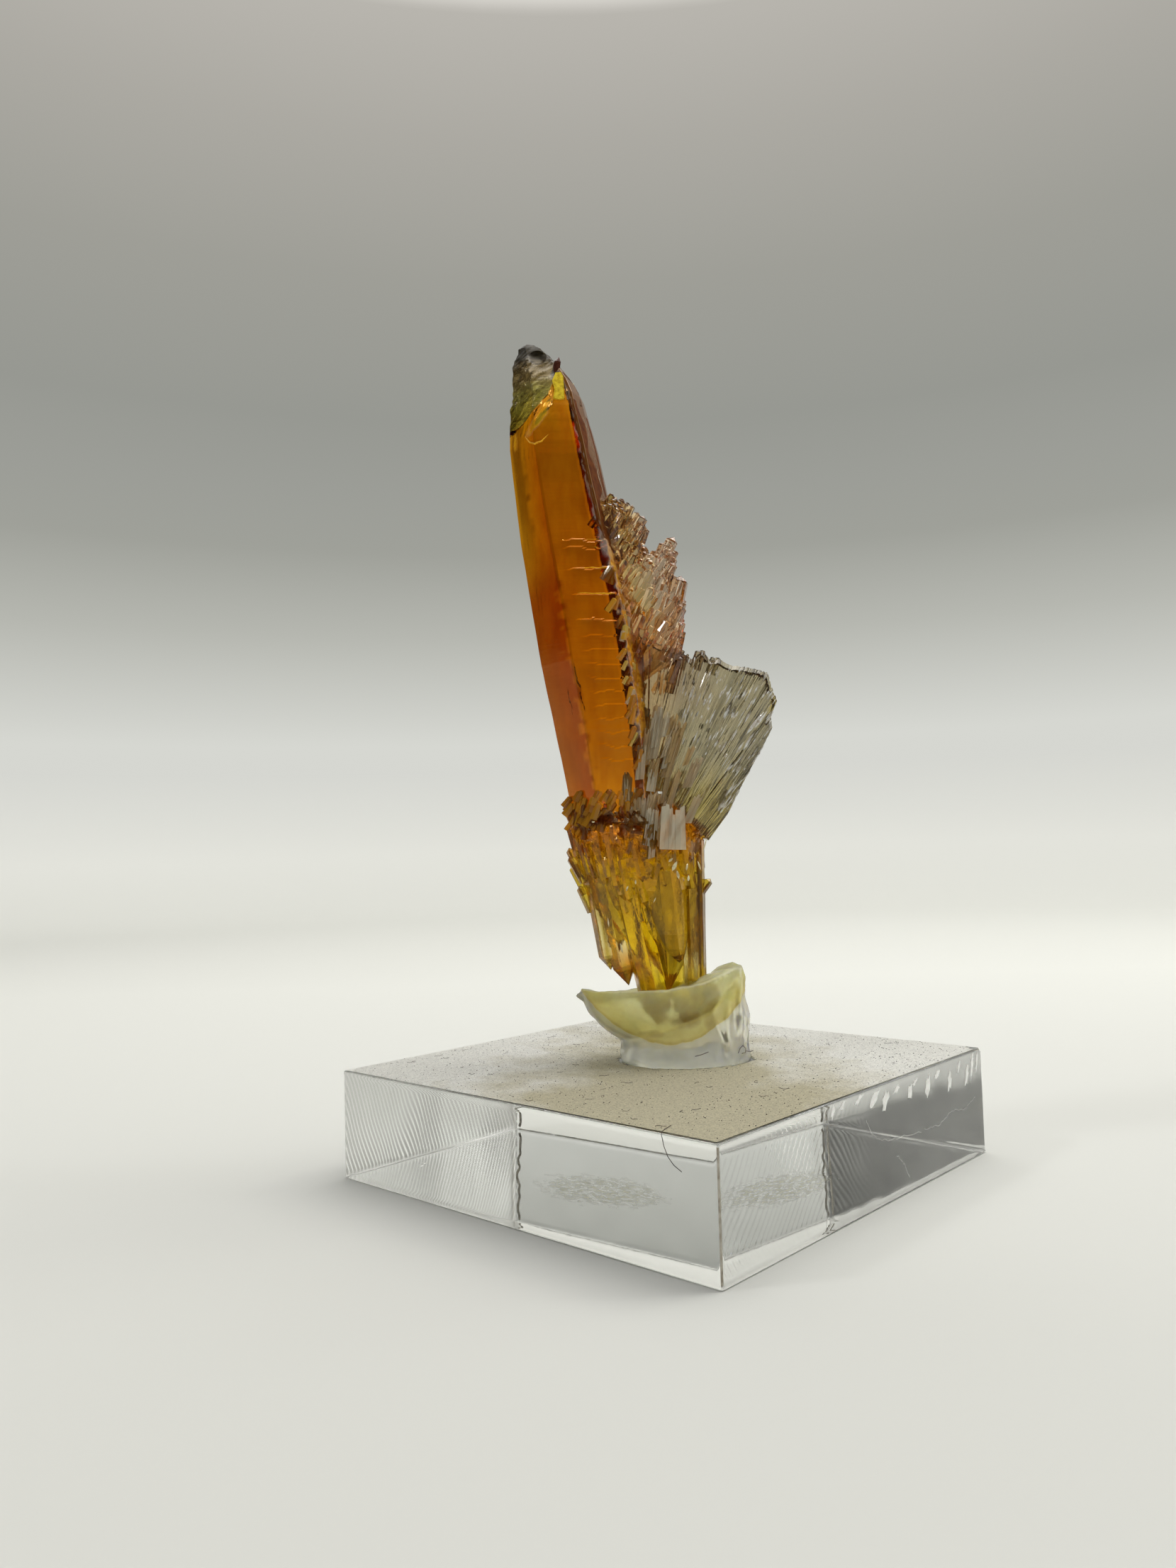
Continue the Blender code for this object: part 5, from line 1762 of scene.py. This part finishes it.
def root_material():
    """Clear yellow to brown zincite."""
    graph = clear("root_zincite", 1.55, 0.04, shine=(1.0, 0.85, 0.45))
    stops = [(0.36, (0.50, 0.32, 0.14)), (0.50, (1.0, 0.86, 0.6)), (0.6, WHITE)]
    mottle = graph.ramp(graph.noise(0.45, 5.0, 0.7, 0.6), stops)
    share = graph.ramp(graph.over(graph.axis("Z"), 40.0), [(0.58, 0.25), (0.70, 1.0)])
    graph.set("Base Color", graph.mix(share, graph.tint(), graph.mix(1.0, graph.tint(), mottle, "MULTIPLY")))
    lines = graph.noise(0.3, 4.0, 0.65, 0.5, graph.stretched((1.0, 1.0, 0.5)))
    graph.set("Roughness", graph.plus(graph.times(lines, 0.10), 0.01))
    graph.bump(lines, 0.45, 0.06)
    graph.absorb((0.95, 0.83, 0.03), 0.40)
    return graph.material


def mass_drop(u, z):
    """How far the mass's skin lies under its table's height at a place."""
    return MASS_DROP * (1.0 - ease(0.0, 1.6, u)) * max(0.0, (z - MASS_BEND) / (MASS_TOP - MASS_BEND))


def fluted_mass():
    """The fluted mass between the prism and its roots."""
    table = ROOT_MASS[::-1]
    rings = []
    centre, half = half_of(PRISM_FOOT)
    for share, tall in ((0.6, 0.0), (0.99, 0.0), (1.03, 1.0), (1.09, 0.6)):
        ring = []
        for angle in turns(MASS_SIDES):
            place = (6.0 * math.cos(angle), 6.0 * math.sin(angle), 0.0)
            ragged = tall * COLLAR_RISE * (0.45 + 0.9 * wave(place, 1.1, 2.0))
            spot = centre + share * half * math.cos(angle), share * half * math.sin(angle)
            ring.append((*spot, PRISM_FOOT - 0.08 + max(ragged, 0.0)))
        rings.append(ring)
    for z in np.arange(MASS_TOP, 17.5, -0.4):
        centre, half_width, half_depth = read(table, z)
        ring = []
        for angle in turns(MASS_SIDES):
            spot = (half_width * math.cos(angle), half_depth * math.sin(angle), z)
            flute = 0.90 + 0.06 * abs(math.sin(7.0 * angle + 0.35 * z)) + 0.05 * wave(spot, 0.9, 3.0)
            flute += (1.1 - flute) * ease(29.8, 30.6, z) * 0.8
            lift = 0.25 * math.sin(3.0 * angle) * ease(30.3, 29.3, z)
            u = centre + spot[0] * flute
            ring.append((u, spot[1] * flute, z + lift - mass_drop(u, z)))
        rings.append(ring)
    return loft(rings, ROOT_MASS_TOP, ROOT_MASS_TIP)


def lesser_crystals(draw):
    """Small crystals all over the mass: they point down over the roots, and up over the prism's foot."""
    parts = []
    for _ in range(LESSER_ROOTS):
        angle = draw.uniform(0.0, FULL_TURN)
        height = draw.uniform(17.5, 25.5) if draw.random() < 0.45 else draw.uniform(25.5, 30.6)
        centre, half_width, half_depth = read(ROOT_MASS[::-1], height)
        out = np.array([half_width * math.cos(angle), half_depth * math.sin(angle), 0.0])
        tip = np.array([centre, 0.0, height]) + out * draw.uniform(0.93, 1.02)
        tip[2] -= mass_drop(tip[0], height)
        if height > 25.5:
            tip = tip + out * 0.02
            start = tip - out * 0.16 + np.array([draw.uniform(-0.7, 0.9), 0.0, -draw.uniform(0.8, 2.0)])
            radius = draw.uniform(0.15, 0.42)
        else:
            start = tip + out * 0.02 + np.array([-0.7, 0.0, draw.uniform(2.5, 5.0)])
            radius = draw.uniform(0.22, 0.6)
        shoulder, slope = draw.uniform(0.7, 0.95), draw.uniform(0.6, 1.5)
        parts.append(rod(start, tip, radius, shoulder, 6, draw.uniform(0.0, 1.0), slope))
    for _ in range(SEAM_CRYSTALS):
        angle = draw.uniform(0.0, FULL_TURN)
        height = PRISM_FOOT - 0.2 + 1.6 * draw.random() ** 1.6
        centre, half = half_of(height)
        radius = draw.uniform(0.12, 0.28)
        out = np.array([math.cos(angle) * (half + radius), math.sin(angle) * (0.93 * half + radius), 0.0])
        tip = np.array([centre, 0.0, height]) + out
        start = tip - 0.08 * out + np.array([draw.uniform(-0.4, 0.7), 0.0, -draw.uniform(0.9, 1.8)])
        parts.append(rod(start, tip, radius, 0.9, 6, draw.uniform(0.0, 1.0), 0.9))
    for tip, start in TEETH:
        parts.append(rod(np.array(tip) + np.array(start), tip, 0.42, 0.9, 5, draw.uniform(0.0, 1.0), 0.7))
    return parts


def root_crystal(start, end, radius, shoulder, spin):
    """A single root crystal: a long six-sided rod whose faces swell and narrow a little."""
    start, end = np.array(start), np.array(end)
    axis = Vector(end - start).normalized()
    across = axis.orthogonal().normalized()
    across.rotate(Matrix.Rotation(spin, 3, axis))
    side = axis.cross(across)
    neck = 1.0 - 1.5 * radius * shoulder / np.linalg.norm(end - start)
    rings = []
    for k in range(11):
        reach = radius * (1.0 + (shoulder - 1.0) * k / 10)
        ring = []
        for i in range(12):
            angle = FULL_TURN * i / 12
            facet = math.cos(math.pi / 6.0) if i % 2 else 1.0
            place = (3.0 * math.cos(angle), 3.0 * math.sin(angle), 0.6 * k)
            grow = reach * facet * (1.0 + 0.04 * wave(place, 0.6, radius))
            way = np.array(across * math.cos(angle) + side * math.sin(angle))
            ring.append(tuple(start + (end - start) * neck * k / 10 + way * grow))
        rings.append(ring)
    return loft(rings, tuple(start), tuple(end))


def smoky_crystal():
    """The rounded smoky crystal at the front."""
    rings = []
    for z in np.arange(25.7, 17.1, -0.4):
        centre, half = read(SMOKY_CRYSTAL[::-1], z)
        ring = []
        for i in range(10):
            angle = FULL_TURN * i / 10
            facet = 0.93 if i % 2 else 1.0
            through = 1.25 * min(half, 1.4) / 1.4
            u = centre + half * facet * math.cos(angle)
            ring.append((u, SMOKY_MIDDLE + through * facet * math.sin(angle), z))
        rings.append(ring)
    return loft(rings, *SMOKY_ENDS)


def roots():
    """The mass, its small crystals and the single root crystals, all in one skin."""
    draw = random.Random(13)
    parts = [fluted_mass()] + lesser_crystals(draw)
    for start, end, radius, shoulder, _ in ROOTS:
        parts.append(root_crystal(start, end, radius, shoulder, draw.uniform(0.0, 1.0)))
    parts.append(smoky_crystal())
    skin = fused(outward(make_mesh("roots", *joined(parts), root_material())))
    crystal_piece(tinted(skin, root_tint))
    slivers = []
    for u, z, length, width, lean in ROOT_GLINTS:
        run = 0.5 * length * np.array([math.sin(lean), math.cos(lean)])
        start, end = (u - run[0], -3.95, z - run[1]), (u + run[0], -3.85, z + run[1])
        slivers.append(spindle(start, end, width, 0.06))
    crystal_mesh("root_glints", joined(slivers), highlight_and_mark_material("root_glint", (1.0, 0.93, 0.62), 0.1, 0.2))


# Dust, specks and fibres

FILM_RISE = 0.02
FILM_CELLS = 76
SPECKS = 3200
FIBRES = 70
# Dark fibres on the putty's foot, in the specimen's axes
PUTTY_FIBRES = [
    [
        (5.6, -3.6, 9.7), (5.75, -3.62, 10.1), (6.0, -3.5, 10.3), (6.25, -3.35, 10.0), (6.2, -3.35, 9.7),
        (5.9, -3.5, 9.65),
    ],
    [(2.0, -4.75, 9.75), (2.5, -4.7, 9.85), (3.1, -4.6, 10.05)],
    [(6.3, -3.3, 9.8), (6.6, -3.1, 9.7), (6.9, -2.9, 9.75)],
]
PUTTY_FIBRE_RADIUS = 0.035
# A hair over the top edge of the left face
EDGE_HAIR = [
    (14.2, -17.4, 8.78), (14.45, -18.2, 8.80), (14.6, -18.8, 8.76), (14.7, -19.0, 8.55), (14.85, -19.0, 7.9),
    (15.15, -19.0, 7.3), (15.6, -19.0, 6.85), (16.2, -19.0, 6.55),
]
EDGE_HAIR_RADIUS = 0.03


def dust_material():
    """A thin matte film of pale beige dust, with patches where less of it lies."""
    graph = Graph("dust")
    fine = graph.noise(0.11, 4.0, 0.75)
    broad = graph.noise(5.0, 4.0, 0.6)
    aside = graph.plus(graph.math("ABSOLUTE", graph.axis("X")), graph.times(graph.axis("Y"), 0.35))
    light_zone = graph.plus(graph.over(aside, 32.0), graph.times(broad, 0.7))
    tone = graph.ramp(light_zone, [(0.45, (0.59, 0.55, 0.40)), (0.80, (1.0, 1.0, 0.95))])
    graph.set("Base Color", graph.mix(1.0, tone, graph.ramp(fine, [(0.36, 0.55), (0.55, 1.0)]), "MULTIPLY"))
    patch = graph.ramp(light_zone, [(0.45, 0.30), (0.85, 0.60)])
    gaps = graph.ramp(fine, [(0.3, 0.9), (0.6, 0.5)])
    graph.set("Transmission Weight", graph.mix(0.75, patch, gaps, "MULTIPLY"))
    graph.set("IOR", 1.04)
    graph.set("Roughness", 0.6)
    graph.bump(fine, 0.4, 0.03)
    return graph.material


def under_putty(x, y, grow):
    """Whether a place on the block's top is under the putty."""
    u, v = in_specimen(x, y)
    for _, centre_u, centre_v, half_width, half_depth in (FOOT[0], WALL[0]):
        if math.hypot((u - centre_u) / (half_width + grow), (v - centre_v) / (half_depth + grow)) < 1.0:
            return True
    return False


def dust_film():
    """The film of dust on the block's top, round the putty and clear of the chipped corner."""
    half = BLOCK_SIDE / 2.0 - BLOCK_EDGE
    step = 2.0 * half / FILM_CELLS
    low = BLOCK_HEIGHT + FILM_RISE
    spots = []
    for height in (low, low + FILM_RISE):
        for j in range(FILM_CELLS + 1):
            for i in range(FILM_CELLS + 1):
                spots.append((-half + i * step, -half + j * step, height))
    layer = (FILM_CELLS + 1) ** 2
    cells = set()
    for j in range(FILM_CELLS):
        for i in range(FILM_CELLS):
            x, y = -half + (i + 0.5) * step, -half + (j + 0.5) * step
            if not under_putty(x, y, 0.25) and math.hypot(x - half, y - half) > 1.0:
                cells.add((i, j))
    faces = []
    for i, j in sorted(cells):
        a = j * (FILM_CELLS + 1) + i
        b, c, d = a + 1, a + FILM_CELLS + 2, a + FILM_CELLS + 1
        faces.append((a + layer, b + layer, c + layer, d + layer))
        faces.append((d, c, b, a))
        sides = (((i, j - 1), a, b), ((i + 1, j), b, c), ((i, j + 1), c, d), ((i - 1, j), d, a))
        for near, start, end in sides:
            if near not in cells:
                faces.append((start, end, end + layer, start + layer))
    used = sorted({k for face in faces for k in face})
    order = {k: n for n, k in enumerate(used)}
    faces = [tuple(order[k] for k in face) for face in faces]
    dirt_piece(make_mesh("dust_film", [spots[k] for k in used], faces, dust_material(), turned=False))


def dirt_piece(piece):
    """Dust and fibres ride with the block that they lie on."""
    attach(piece, "root")


def dirt_mesh(name, parts, material):
    """Small closed parts on the block, in its own axes, as one piece."""
    dirt_piece(outward(make_mesh(name, *joined(parts), material, turned=False)))


def speck(place, radius, draw):
    """A small uneven grain."""
    reach = [radius * draw.uniform(0.6, 1.4) for _ in range(6)]
    x, y, z = place
    ring = [(x + reach[0], y, z), (x, y + reach[1], z), (x - reach[2], y, z), (x, y - reach[3], z)]
    return loft([ring], (x, y, z - 0.4 * reach[4]), (x, y, z + 0.7 * reach[5]))


def tube(points, radius):
    """A thin closed fibre through points."""
    points = np.asarray(points, float)
    rings = []
    for i in range(len(points)):
        run = points[min(i + 1, len(points) - 1)] - points[max(i - 1, 0)]
        run /= np.linalg.norm(run)
        side = np.cross(run, (0.31, 0.23, 0.92))
        side /= np.linalg.norm(side)
        over = np.cross(run, side)
        ring = [side * math.cos(angle) + over * math.sin(angle) for angle in (0.5, 2.6, 4.7)]
        rings.append([points[i] + radius * way for way in ring])
    return loft(rings, points[0], points[-1])


def curl(x, y, z, length, draw):
    """The points of a short curly fibre that lies at a height."""
    heading, bend = draw.uniform(0.0, FULL_TURN), draw.uniform(-2.5, 2.5)
    points = []
    for k in range(9):
        points.append((x, y, z + 0.03 * math.sin(k)))
        heading += bend / 8.0 + draw.uniform(-0.35, 0.35)
        x += math.cos(heading) * length / 8.0
        y += math.sin(heading) * length / 8.0
    return points


def dirt():
    """Dark specks and short curly fibres on the block's top."""
    draw = random.Random(99)
    grains, threads = [], []
    top = BLOCK_HEIGHT + 2.0 * FILM_RISE + 0.01
    half = BLOCK_SIDE / 2.0 - 0.4
    while len(grains) < SPECKS:
        x, y = draw.uniform(-half, half), draw.uniform(-half, half)
        if under_putty(x, y, 0.1) or patchy((x, y, 0.0), 6.0, 4.0) < draw.random() * 0.9:
            continue
        grains.append(speck((x, y, top), 0.02 + 0.05 * draw.random() ** 3, draw))
    while len(threads) < FIBRES:
        x, y = draw.uniform(-half, half), draw.uniform(-half, half)
        if not under_putty(x, y, 0.8) and math.hypot(x, y) < 24.0:
            length = draw.uniform(0.3, 1.1)
            points = curl(x, y, top + 0.02, length, draw)
            if max(abs(p[0]) for p in points) < half and max(abs(p[1]) for p in points) < half:
                threads.append(tube(points, draw.uniform(0.010, 0.022)))
    dirt_mesh("dark_specks", grains, speck_material())
    threads.append(tube(EDGE_HAIR, EDGE_HAIR_RADIUS))
    threads += [tube(in_block(fibre), PUTTY_FIBRE_RADIUS) for fibre in PUTTY_FIBRES]
    dirt_mesh("short_fibres", threads, speck_material())


def speck_material():
    """Dark grey-brown grit."""
    graph = Graph("grit", turned=False)
    grey, brown = (0.05, 0.045, 0.06), (0.16, 0.12, 0.09)
    graph.set("Base Color", graph.ramp(graph.noise(0.8), [(0.35, grey), (0.65, brown)]))
    graph.set("Roughness", 0.8)
    graph.bump(graph.noise(0.05), 0.3, 0.01)
    return graph.material


camera()
stage()
light()
block()
putty()
flakes()
edge_grime()
break_line = prism()
cap(break_line)
step_highlights()
dark_veins()
dark_band()
pale_edge()
top_details()
wing()
crust()
plates()
roots()
dust_film()
dirt()
